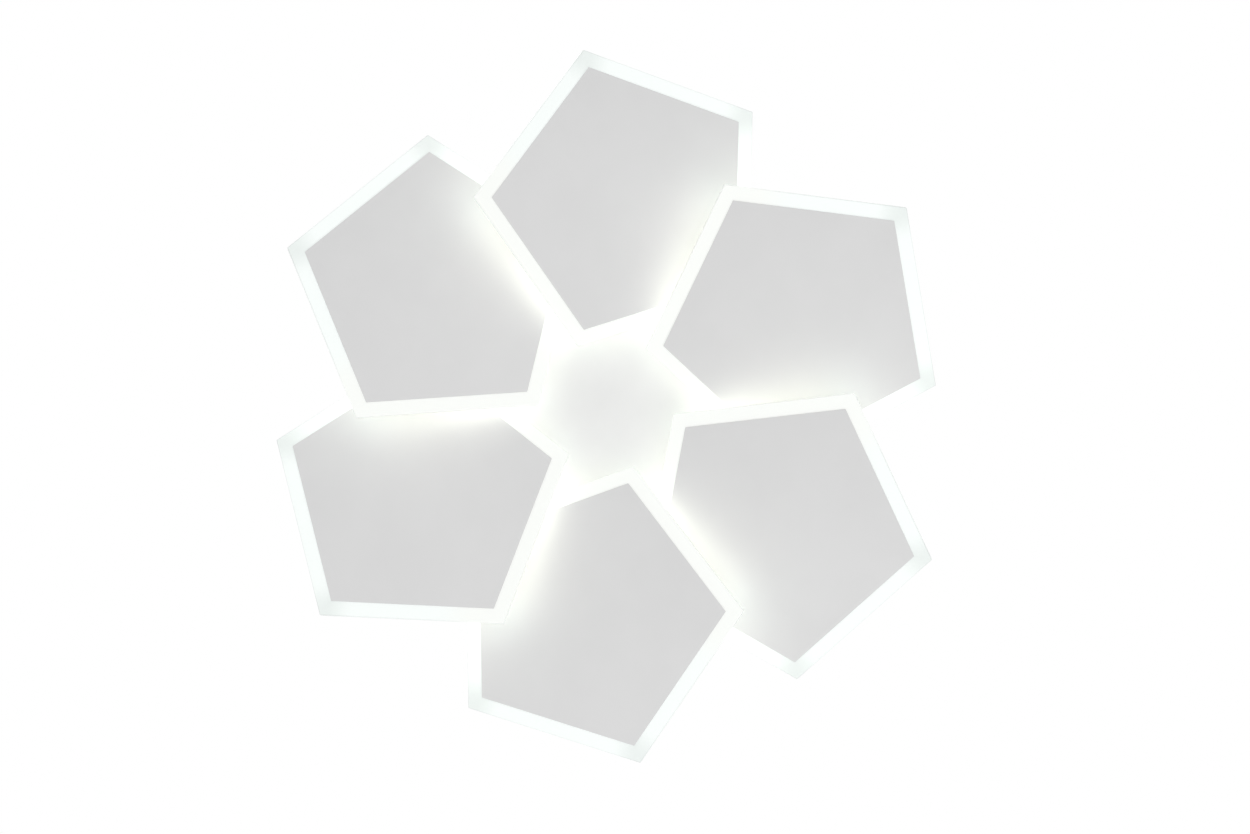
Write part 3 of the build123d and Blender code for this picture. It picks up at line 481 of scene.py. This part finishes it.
def solderMask(setup, firstBearing):
    # green epoxy lacquer over glass laminate; copper tracks run out to six sockets and show as paler bands
    material, tree, shader = newMaterial("greenSolderMask", setup["mask"], 0.28, Coat_Weight=0.3)
    parts = addNode(tree, "ShaderNodeSeparateXYZ", None, {"Vector": millimetres(tree)})
    turn = calculate(tree, "ARCTAN2", parts.outputs["Y"], parts.outputs["X"])
    sector = math.radians(60)
    turned = calculate(tree, "SUBTRACT", turn, firstBearing - sector / 2)
    fold = calculate(tree, "SUBTRACT", calculate(tree, "FLOORED_MODULO", turned, sector), sector / 2)
    flat = addNode(tree, "ShaderNodeCombineXYZ", None, {"X": parts.outputs["X"], "Y": parts.outputs["Y"]})
    radius = addNode(tree, "ShaderNodeVectorMath", {"operation": "LENGTH"}, {0: flat.outputs[0]}).outputs["Value"]
    run = calculate(tree, "MULTIPLY", radius, calculate(tree, "COSINE", fold))
    across = calculate(tree, "ABSOLUTE", calculate(tree, "MULTIPLY", radius, calculate(tree, "SINE", fold)))
    pair = between(tree, across, setup["trackHalf"])
    copper = calculate(tree, "MULTIPLY", pair, between(tree, run, setup["trackRun"]))
    for ring in setup["rings"]:
        copper = calculate(tree, "MAXIMUM", copper, between(tree, radius, ring))
    pad = calculate(tree, "MULTIPLY", pair, between(tree, run, setup["padRun"]))
    colour = addNode(tree, "ShaderNodeMix", {"data_type": "RGBA", 7: hexColour(setup["pad"])},
                     {0: pad, 6: blend(tree, copper, setup["mask"], setup["track"], 0.0, 1.0)})
    tree.links.new(colour.outputs[2], shader.inputs["Base Color"])
    tree.links.new(pad, shader.inputs["Metallic"])
    bumpFrom(tree, shader, copper, setup["copper"])
    return material


wireSetup = {
    "roughness": 0.42,
    "earth": "4E9A34",
    "neutral": ("2F66B5", 56.5, 25.0),  # colour, and where the wire lies: beyond this X or short of this Y, in mm
    "line": ("7A4A2A", 64.2, 11.0),
    "stripe": "E6D23C",
    "stripePitch": 7.0,  # of the earth wire's yellow, in mm
    "stripeShare": 0.4,
}


def mainsInsulation(setup):
    # coloured PVC, the earth's green with a yellow stripe winding round it
    material, tree, shader = newMaterial("pvcInsulation", setup["earth"], setup["roughness"])
    parts = addNode(tree, "ShaderNodeSeparateXYZ", None, {"Vector": millimetres(tree)})
    across, along, up = parts.outputs
    slant = calculate(tree, "ADD", calculate(tree, "ADD", across, along), up)
    turn = calculate(tree, "FRACT", calculate(tree, "DIVIDE", slant, setup["stripePitch"]))
    colour = colourSteps(tree, turn, setup["earth"], [(1 - setup["stripeShare"], setup["stripe"])])
    for wire in ("neutral", "line"):
        code, beyond, short = setup[wire]
        inWire = calculate(tree, "MAXIMUM", calculate(tree, "GREATER_THAN", across, beyond),
                           calculate(tree, "LESS_THAN", along, short))
        mix = addNode(tree, "ShaderNodeMix", {"data_type": "RGBA", 7: hexColour(code)}, {0: inWire, 6: colour})
        colour = mix.outputs[2]
    tree.links.new(colour, shader.inputs["Base Color"])
    return material


softenSetup = {
    "segments": 2,
    "sharpAngle": 32.0,
    "flatAngle": 0.3,  # triangles that lie this flat are one face
}


def softenEdges(name, width):
    # the small radius that pressing, moulding or tumbling leaves on an edge, in mm
    piece = nodes[name]
    weld = piece.modifiers.new("joinTriangles", "WELD")
    weld.merge_threshold = weldDistance * mm
    flats = piece.modifiers.new("wholeFlats", "DECIMATE")
    flats.decimate_type = "DISSOLVE"
    flats.angle_limit = math.radians(softenSetup["flatAngle"])
    bevel = piece.modifiers.new("softEdges", "BEVEL")
    bevel.width = width * mm
    bevel.segments = softenSetup["segments"]
    bevel.limit_method = "ANGLE"
    bevel.angle_limit = math.radians(softenSetup["sharpAngle"])
    bevel.harden_normals = True


def setMaterial(node, material):
    mesh = nodes[node].data
    mesh.materials.clear()
    mesh.materials.append(material)


zinc = zincPlate()
nylon = mouldedPlastic("naturalNylon", "E6E2D2", "ECE9DC", 0.38)
sheath = mouldedPlastic("whitePvcSheath", "E9E9E6", "EFEFEC", 0.46, 1.2, 0.015)
driverCase = mouldedPlastic("whitePolycarbonate", "E8E8E4", "EEEEEA", 0.5)
board = solderMask(boardSetup, armBearing)
nodeFinishes = {  # material, and radius of the softened edges in mm where it has them
    "canopy": (canopyCoatPaintedLighter, 0.25),
    "stem_nuts": (zinc, 0.3),
    "ceiling_bracket": (galvanisedSheet(), 0.25),
    "head_leads": (sheath, 0.2),
    "driver_base": (driverCase, 0.3),
    "driver_lid": (driverCase, 0.3),
    "driver_circuit_board": (board, 0.1),
    "output_board": (board, 0.1),
    "driver_components": (mouldedPlastic("blackEpoxy", "1B1B1E", "242428", 0.45), 0.4),
    "terminal_block": (mouldedPlastic("greyPolyamide", "A9ACAD", "B2B5B6", 0.48), 0.3),
    "terminal_clips": (stampedStrip("phosphorBronze", "C48A5A", "CE9765", 0.3), 0.1),
    "earth_button": (mouldedPlastic("greenPolyamide", "2E8B3D", "349545", 0.45), 0.2),
    "neutral_button": (mouldedPlastic("bluePolyamide", "2A5FA8", "3069B4", 0.45), 0.2),
    "line_button": (mouldedPlastic("brownPolyamide", "6B4226", "744A2C", 0.45), 0.2),
    "earth_lug": (stampedStrip("tinnedCopper", "C4C3BF", "CECDC9", 0.34), 0.15),
    "mains_wires": (mainsInsulation(wireSetup), 0.1),
}
for node, (finish, radius) in nodeFinishes.items():
    setMaterial(node, finish)
    softenEdges(node, radius)
for number in headNumbers:
    setMaterial(f"arm_{number}", bodyCoat)
    softenEdges(f"arm_{number}", 0.35)
    setMaterial(f"head_{number}_light_guide", edgeLitAcrylic(number, acrylicSetup))
    softenEdges(f"head_{number}_light_guide", 0.15)
    setMaterial(f"head_{number}_led_bars", ledBar(number, ledBarSetup))
print("finishes set")


# Shapes shared by the new pieces

def ringVerts(loop):
    return list({vert for edge in loop for vert in edge.verts})


def fiveSides(bm, reach, cornerRadius, level, cornerSegments=5):
    # a loop with five rounded corners, one of them on X, in mm
    corner = reach / math.cos(math.radians(36))
    ring = bmesh.ops.create_circle(bm, segments=5, radius=corner)["verts"]
    bmesh.ops.rotate(bm, cent=(0, 0, 0), matrix=Matrix.Rotation(math.radians(-90), 3, "Z"), verts=ring)
    bmesh.ops.translate(bm, vec=(0, 0, level), verts=ring)
    trim = cornerRadius * math.tan(math.radians(36))  # corner to where its arc starts
    made = bmesh.ops.bevel(bm, geom=ring, offset=trim, offset_type="OFFSET", affect="VERTICES",
                           segments=cornerSegments, profile=0.5, material=-1)
    return list({edge for vert in made["verts"] for edge in vert.link_edges})


def closedShell(bm, rings):
    # rings is a list of (reach, corner radius, level); they are bridged one above the other, then set level
    loops = [fiveSides(bm, reach, radius, step) for step, (reach, radius, level) in enumerate(rings)]
    for one, two in zip(loops, loops[1:]):
        bmesh.ops.bridge_loops(bm, edges=one + two)
    for step, (loop, ring) in enumerate(zip(loops, rings)):
        bmesh.ops.translate(bm, vec=(0, 0, ring[2] - step), verts=ringVerts(loop))
    bmesh.ops.edgeloop_fill(bm, edges=loops[0])
    bmesh.ops.edgeloop_fill(bm, edges=loops[-1])


def lathe(bm, outline, steps=24, closed=False):
    # outline is a list of (radius, level) in mm, spun about Z
    verts = [bm.verts.new((radius, 0, level)) for radius, level in outline]
    pairs = list(zip(verts, verts[1:])) + ([(verts[-1], verts[0])] if closed else [])
    edges = [bm.edges.new(pair) for pair in pairs]
    bmesh.ops.spin(bm, geom=verts + edges, cent=(0, 0, 0), axis=(0, 0, 1), dvec=(0, 0, 0),
                   angle=math.tau, steps=steps, use_merge=True, use_duplicate=False)


def stampMesh(bm, mesh, place, material=0):
    # a copy of a small mesh, moved to its place
    knownVerts, knownFaces = len(bm.verts), len(bm.faces)
    bm.from_mesh(mesh)
    bm.verts.ensure_lookup_table()
    bm.faces.ensure_lookup_table()
    bmesh.ops.transform(bm, matrix=place, verts=bm.verts[knownVerts:])
    for face in bm.faces[knownFaces:]:
        face.material_index = material


def keepMesh(bm, name):
    # a finished small mesh for stamping, with clean seams and outward faces
    bmesh.ops.remove_doubles(bm, verts=bm.verts, dist=1e-4)
    bmesh.ops.recalc_face_normals(bm, faces=bm.faces)
    mesh = bpy.data.meshes.new(name)
    bm.to_mesh(mesh)
    bm.free()
    return mesh


def combine(mesh, other, operation="DIFFERENCE"):
    # the first mesh less the second, or joined with it; both are closed, in mm
    base, tool = bpy.data.objects.new("base", mesh), bpy.data.objects.new("tool", other)
    for item in (base, tool):
        bpy.context.scene.collection.objects.link(item)
    change = base.modifiers.new("combine", "BOOLEAN")
    change.operation = operation
    change.solver = "EXACT"
    change.object = tool
    bpy.context.view_layer.update()
    result = bpy.data.meshes.new_from_object(base.evaluated_get(bpy.context.evaluated_depsgraph_get()))
    for item in (base, tool):
        bpy.data.objects.remove(item)
    return result


def addBlock(bm, corners, softness=0.0, shift=(0, 0, 0)):
    # a box between two corners in mm, its edges rounded where softness is given
    low, high = (Vector(corner) + Vector(shift) for corner in corners)
    verts = bmesh.ops.create_cube(bm, size=1.0)["verts"]
    bmesh.ops.scale(bm, vec=high - low, verts=verts)
    bmesh.ops.translate(bm, vec=(low + high) / 2, verts=verts)
    if softness:
        edges = list({edge for vert in verts for edge in vert.link_edges})
        bmesh.ops.bevel(bm, geom=edges, offset=softness, offset_type="OFFSET", affect="EDGES",
                        segments=2, profile=0.5, material=-1)


def makePiece(name, bm, materials, body, replaced=(), sharpAngle=32.0):
    # bm is in mm in the row frame
    bmesh.ops.scale(bm, vec=(mm, mm, mm), verts=bm.verts)
    for face in bm.faces:
        face.smooth = True
    mesh = bpy.data.meshes.new(name)
    bm.to_mesh(mesh)
    bm.free()
    mesh.set_sharp_from_angle(angle=math.radians(sharpAngle))
    for material in materials:
        mesh.materials.append(material)
    piece = bpy.data.objects.new(name, mesh)
    bpy.context.scene.collection.objects.link(piece)
    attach(piece, body)
    if replaced:
        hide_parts(*replaced)
    return piece


def inMillimetres(place):
    result = place.copy()
    result.translation = place.translation / mm
    return result


def fiveTimes(radius, level=0.0, first=0.0):
    # five places on a circle, the first of them on X unless it is turned
    for side in range(5):
        turn = Matrix.Rotation(math.radians(first + 72 * side), 4, "Z")
        yield turn @ Matrix.Translation((radius, 0, level))


# Front plates

plateSetup = {
    "reach": 110.8,
    "cornerRadius": 0.8,
    "thickness": 1.0,
    "edgeRadius": 0.3,
    "studRadius": 2.0,
    "studCircle": 70.0,
    "studTop": 25.0,
    "threadStart": 12.0,
    "threadPitch": 0.7,  # M4
    "threadDepth": 0.32,
}


def threadPoints(radius, setup, start, end):
    # (radius, level) points of a thread's roots and crests, from start up to end
    depth, pitch = setup["threadDepth"], setup["threadPitch"]
    while start + pitch < end:
        yield radius - depth, start + pitch / 2
        yield radius, start + pitch
        start += pitch


def studMesh(setup):
    # a welded stud, threaded towards its tip
    radius, depth = setup["studRadius"], setup["threadDepth"]
    start, top = setup["threadStart"], setup["studTop"]
    outline = [(0, 0.9 * setup["thickness"]), (radius, 0.9 * setup["thickness"]), (radius, start)]
    outline += threadPoints(radius, setup, start, top - depth)
    outline += [(radius - depth, top), (0, top)]
    bm = bmesh.new()
    lathe(bm, outline, 16)
    return keepMesh(bm, "stud")


def plateMesh(setup):
    edge, reach, corner, top = setup["edgeRadius"], setup["reach"], setup["cornerRadius"], setup["thickness"]
    rounded = [(edge, 0), (0.3 * edge, 0.3 * edge), (0, edge)]  # inset and level of a rolled edge
    rings = [(reach - inset, corner - inset, level) for inset, level in rounded]
    rings += [(reach - inset, corner - inset, top - level) for inset, level in reversed(rounded)]
    bm = bmesh.new()
    closedShell(bm, rings)
    return keepMesh(bm, "plate")


# Back trays

traySetup = {
    "sheet": 0.8,
    "front": 9.0,  # level of the light guide's back
    "top": 20.0,
    "flangeReach": 108.4,
    "wallReach": 102.7,
    "floorReach": 90.6,
    "cornerRadius": 6.0,
    "footBend": 1.2,
    "topBend": 2.4,
    "bendSteps": 4,
    "stemHole": 5.2,
    "studHole": 2.3,
    "stopCircle": 17.0,
    "stopRun": 2.96,
    "stopHole": 2.25,
    "ventCircle": 62.0,
    "ventPitch": 8.0,
    "ventLength": 26.0,
    "ventWidth": 3.0,
}


def bendPoints(corner, before, after, radius, steps):
    # (reach, level) points of a rounded bend where two straight runs of a profile meet
    corner, before, after = Vector(corner), Vector(before), Vector(after)
    inward, outward = (before - corner).normalized(), (after - corner).normalized()
    trim = radius / math.tan(inward.angle(outward) / 2)
    start, end = corner + inward * trim, corner + outward * trim
    for step in range(steps + 1):
        share = step / steps
        yield start.lerp(corner, share).lerp(corner.lerp(end, share), share)


def longHole(bm, length, width, low, high, place):
    # cutter of a hole with round ends, along Y; a round one has its length equal to its width
    sides = 16
    verts = bmesh.ops.create_circle(bm, cap_ends=True, segments=sides, radius=width / 2)["verts"]
    bmesh.ops.rotate(bm, cent=(0, 0, 0), matrix=Matrix.Rotation(math.pi / sides, 3, "Z"), verts=verts)
    for vert in verts:
        vert.co.y += math.copysign((length - width) / 2, vert.co.y)
        vert.co.z = low
    top = bmesh.ops.extrude_face_region(bm, geom=verts[0].link_faces[:])
    lifted = [item for item in top["geom"] if isinstance(item, bmesh.types.BMVert)]
    bmesh.ops.translate(bm, vec=(0, 0, high - low), verts=lifted)
    bmesh.ops.transform(bm, matrix=place, verts=verts + lifted)


def trayMesh(setup):
    sheet, front, top, corner = setup["sheet"], setup["front"], setup["top"], setup["cornerRadius"]
    steps = setup["bendSteps"]
    innerFloor, innerFoot = (setup["floorReach"] - sheet, top - sheet), (setup["wallReach"] - sheet, front)
    foot, floor = (setup["wallReach"], front + sheet), (setup["floorReach"], top)
    rings = [(point.x, corner - sheet, point.y)
             for point in bendPoints(innerFloor, (0, top - sheet), innerFoot, setup["topBend"] - sheet, steps)]
    rings += [(innerFoot[0], corner - sheet, front), (setup["flangeReach"], corner, front),
              (setup["flangeReach"], corner, front + sheet)]
    rings += [(point.x, corner, point.y)
              for point in bendPoints(foot, (setup["flangeReach"], front + sheet), floor, setup["footBend"], steps)]
    rings += [(point.x, corner, point.y)
              for point in bendPoints(floor, foot, (0, top), setup["topBend"], steps)]
    bm = bmesh.new()
    closedShell(bm, rings)
    pan = keepMesh(bm, "pan")
    cutters = bmesh.new()
    low, high = top - 2 * sheet, top + sheet
    longHole(cutters, 2 * setup["stemHole"], 2 * setup["stemHole"], low, high, Matrix.Identity(4))
    longHole(cutters, setup["stopRun"] + 2 * setup["stopHole"], 2 * setup["stopHole"], low, high,
             Matrix.Translation((setup["stopCircle"], 0, 0)))
    for place in fiveTimes(plateSetup["studCircle"]):
        longHole(cutters, 2 * setup["studHole"], 2 * setup["studHole"], low, high, place)
    for place in fiveTimes(setup["ventCircle"], 0.0, 36.0):
        for shift in (-setup["ventPitch"], 0.0, setup["ventPitch"]):
            longHole(cutters, setup["ventLength"], setup["ventWidth"], low, high,
                     place @ Matrix.Translation((shift, 0, 0)))
    return combine(pan, keepMesh(cutters, "holes"))


# Nuts and screws

nutSetup = {
    "size": 7.0,  # across flats
    "height": 3.2,
    "flangeRadius": 4.5,
    "flangeHeight": 0.8,
    "bore": 2.05,
    "chamfer": 0.35,
    "steps": 24,
}
locknutSetup = {
    "size": 17.0,
    "height": 5.0,
    "flangeHeight": 0.0,
    "bore": 6.05,
    "chamfer": 0.7,
    "steps": 48,
}


def nutMesh(name, setup):
    # a turned blank with chamfered ends, cut to six flats, on its flange where it has one
    blank = setup["size"] / 2 / math.cos(math.radians(30)) * 0.985  # corners are a little rounded
    chamfer, bore, steps = setup["chamfer"], setup["bore"], setup["steps"]
    low = setup["flangeHeight"]
    high = low + setup["height"]
    foot = low - 0.1 if low else 0.0  # sunk in the flange, so that the two have no face in common
    bm = bmesh.new()
    lathe(bm, [(bore + chamfer, foot), (blank - chamfer, foot), (blank, foot + 0.6 * chamfer),
               (blank, high - 0.6 * chamfer), (blank - chamfer, high), (bore + chamfer, high),
               (bore, high - chamfer), (bore, foot + chamfer)], steps, closed=True)
    bmesh.ops.remove_doubles(bm, verts=bm.verts, dist=1e-4)
    for side in range(6):
        normal = Matrix.Rotation(math.radians(60 * side), 3, "Z") @ Vector((1, 0, 0))
        made = bmesh.ops.bisect_plane(bm, geom=bm.verts[:] + bm.edges[:] + bm.faces[:], dist=1e-4,
                                      plane_co=normal * setup["size"] / 2, plane_no=normal, clear_outer=True)
        rim = [item for item in made["geom_cut"] if isinstance(item, bmesh.types.BMEdge)]
        bmesh.ops.edgeloop_fill(bm, edges=rim)
    if low:
        skirt = setup["flangeRadius"]
        lathe(bm, [(bore, 0), (skirt - 0.1, 0), (skirt, 0.1), (skirt, 0.3 * low), (0.86 * blank, low), (bore, low)],
              steps, closed=True)
    return keepMesh(bm, name)


screwSetup = {
    "shankRadius": 1.4,
    "headRadius": 2.7,
    "headHeight": 1.6,
    "threadPitch": 0.5,  # M3
    "threadDepth": 0.22,
    "recessWidth": 0.7,
    "recessLength": 2.8,
    "recessDepth": 0.9,
    "steps": 24,
}
sideScrewSetup = {
    "shankRadius": 2.0,
    "headRadius": 4.2,
    "headHeight": 2.6,
    "threadPitch": 0.7,  # M4
    "threadDepth": 0.32,
    "recessWidth": 1.1,
    "recessLength": 4.8,
    "recessDepth": 1.5,
    "steps": 32,
}


def screwMesh(setup, length):
    # a pan-head screw with a cross recess, its seat at Z = 0 and its tip down
    radius, height = setup["headRadius"], setup["headHeight"]
    shank, depth = setup["shankRadius"], setup["threadDepth"]
    dome = [(radius * math.sin(math.radians(angle)), height * (0.45 + 0.55 * math.cos(math.radians(angle))))
            for angle in range(90, -1, -15)]
    outline = [(0, -length), (shank - depth, -length), (shank, depth - length)]
    outline += threadPoints(shank, setup, depth - length, -depth)
    outline += [(shank, 0), (radius, 0)] + dome[:-1] + [(0, height)]
    bm = bmesh.new()
    lathe(bm, outline, setup["steps"])
    solid = keepMesh(bm, "screwBlank")
    for turn in (0, 90):
        arm = bmesh.new()
        bmesh.ops.create_cube(arm, size=1.0)
        bmesh.ops.scale(arm, vec=(setup["recessWidth"], setup["recessLength"], 2 * setup["recessDepth"]),
                        verts=arm.verts)
        bmesh.ops.rotate(arm, cent=(0, 0, 0), matrix=Matrix.Rotation(math.radians(turn), 3, "Z"), verts=arm.verts)
        bmesh.ops.translate(arm, vec=(0, 0, height), verts=arm.verts)
        solid = combine(solid, keepMesh(arm, "recess"))
    return solid


# Plugs and sockets

plugSetup = {
    "start": 39.3,  # lamp's axis to the plug's shoulder, in mm; the boxes are measured from there
    "body": ((0.0, -3.3, -3.0), (11.0, 3.3, 2.4)),
    "nose": ((-6.6, -2.5, -2.0), (0.5, 2.5, 2.0)),
    "lever": ((-2.4, -1.3, 2.1), (7.4, 1.3, 3.0)),
    "thumbRest": ((6.2, -1.9, 2.0), (8.4, 1.9, 3.0)),
    "rib": ((4.6, -3.5, -2.2), (5.3, 3.5, 1.7)),
    "ribs": 4,
    "ribPitch": 1.5,
    "softness": 0.3,
}
socketSetup = {
    "middle": 33.0,  # lamp's axis to the socket's middle; the body and step are measured from its foot
    "body": ((-6.0, -4.5, 0.0), (6.0, 4.5, 8.5)),
    "step": ((-6.5, -5.0, 6.4), (-4.2, 5.0, 9.0)),
    "pocket": ((-0.9, -2.7, -2.2), (6.5, 2.7, 2.2)),  # this and the notch from the plug's axis
    "notch": ((2.8, -1.6, 1.5), (6.5, 1.6, 6.0)),  # where the plug's lever snaps in
    "softness": 0.35,
}


def plugMesh(setup):
    # a nylon housing with grip ribs, a lever that latches it, and a nose that goes in the socket
    body, rest, thumb = bmesh.new(), bmesh.new(), bmesh.new()
    softness = setup["softness"]
    addBlock(body, setup["body"], softness)
    addBlock(rest, setup["nose"], softness)
    addBlock(rest, setup["lever"], softness)
    for rib in range(setup["ribs"]):
        addBlock(rest, setup["rib"], 0.5 * softness, (rib * setup["ribPitch"], 0, 0))
    addBlock(thumb, setup["thumbRest"], softness)
    joined = combine(keepMesh(body, "plugBody"), keepMesh(rest, "plugRest"), "UNION")
    return combine(joined, keepMesh(thumb, "plugThumb"), "UNION")


def socketMesh(setup, axisHeight):
    solid = bmesh.new()
    addBlock(solid, setup["body"], setup["softness"])
    mesh = keepMesh(solid, "socketBody")
    for cut, height in (("step", 0.0), ("pocket", axisHeight), ("notch", axisHeight)):
        cutter = bmesh.new()
        addBlock(cutter, setup[cut], shift=(0, 0, height))
        mesh = combine(mesh, keepMesh(cutter, cut))
    return mesh


# Every copy of a shape is stamped from one mesh

plate, stud, tray = plateMesh(plateSetup), studMesh(plateSetup), trayMesh(traySetup)
plateNut, locknut = nutMesh("plateNut", nutSetup), nutMesh("locknut", locknutSetup)
for number in headNumbers:
    place, body = inMillimetres(headPlaces[number]), f"head_{number}"
    bm = bmesh.new()
    stampMesh(bm, plate, place)
    for corner in fiveTimes(plateSetup["studCircle"]):
        stampMesh(bm, stud, place @ corner, 1)
    makePiece(f"frontPlate{number}", bm, [plateCoat, zinc], body, [f"{body}_front_plate"])
    bm = bmesh.new()
    stampMesh(bm, tray, place)
    makePiece(f"backTray{number}", bm, [bodyCoat], body, [f"{body}_back_tray"])
    bm = bmesh.new()
    for side, corner in enumerate(fiveTimes(plateSetup["studCircle"], traySetup["top"])):
        tightened = Matrix.Rotation(math.radians(11 * (side + number)), 4, "Z")  # no two stop at one angle
        stampMesh(bm, plateNut, place @ corner @ tightened)
    makePiece(f"plateNuts{number}", bm, [zinc], body, [f"{body}_plate_nuts"])
print("heads' plates, trays and nuts made")

bm = bmesh.new()
for middle, low, high in islands("canopy_nuts"):
    stampMesh(bm, plateNut, Matrix.Translation((middle.x, middle.y, low.z)))
makePiece("canopyNuts", bm, [zinc], "canopy", ["canopy_nuts"])
bm = bmesh.new()
for middle, low, high in lockPlaces:
    outward = Vector((middle.x, middle.y, 0)).normalized()
    turn = outward.to_track_quat("Z", "Y").to_matrix().to_4x4()
    seat = Matrix.Translation(middle - outward * locknutSetup["height"] / 2)
    stampMesh(bm, locknut, seat @ turn)
makePiece("armLocknuts", bm, [zinc], "canopy", ["arm_locknuts"])
driverScrewPlaces, sideScrewPlaces = islands("driver_screws"), islands("side_screws")
middle, low, high = driverScrewPlaces[0]
driverScrew = screwMesh(screwSetup, high.z - low.z - screwSetup["headHeight"])
bm = bmesh.new()
for middle, low, high in driverScrewPlaces:
    stampMesh(bm, driverScrew, Matrix.Translation((middle.x, middle.y, high.z - screwSetup["headHeight"])))
makePiece("driverScrews", bm, [zinc], "canopy", ["driver_screws"])
middle, low, high = sideScrewPlaces[0]
shankLength = high.y - low.y - sideScrewSetup["headHeight"]
sideScrew = screwMesh(sideScrewSetup, shankLength)
bm = bmesh.new()
for middle, low, high in sideScrewPlaces:
    outward = Vector((0, math.copysign(1, middle.y), 0))
    turn = outward.to_track_quat("Z", "Y").to_matrix().to_4x4()
    seat = Matrix.Translation(middle + outward * (shankLength - sideScrewSetup["headHeight"]) / 2)
    stampMesh(bm, sideScrew, seat @ turn)
makePiece("sideScrews", bm, [zinc], "bracket", ["side_screws"])
print("canopy's nuts and screws made")

plugLevel, socketFoot = islands("lead_plugs")[0][0].z, islands("output_sockets")[0][1].z
plug, socket = plugMesh(plugSetup), socketMesh(socketSetup, plugLevel - socketFoot)
plugs, sockets = bmesh.new(), bmesh.new()
for number in headNumbers:
    turn = Matrix.Rotation(armBearing + math.radians(60 * number), 4, "Z")
    stampMesh(plugs, plug, turn @ Matrix.Translation((plugSetup["start"], 0, plugLevel)))
    stampMesh(sockets, socket, turn @ Matrix.Translation((socketSetup["middle"], 0, socketFoot)))
makePiece("leadPlugs", plugs, [nylon], "canopy", ["lead_plugs"])
makePiece("outputSockets", sockets, [nylon], "canopy", ["output_sockets"])
print("plugs and sockets made")
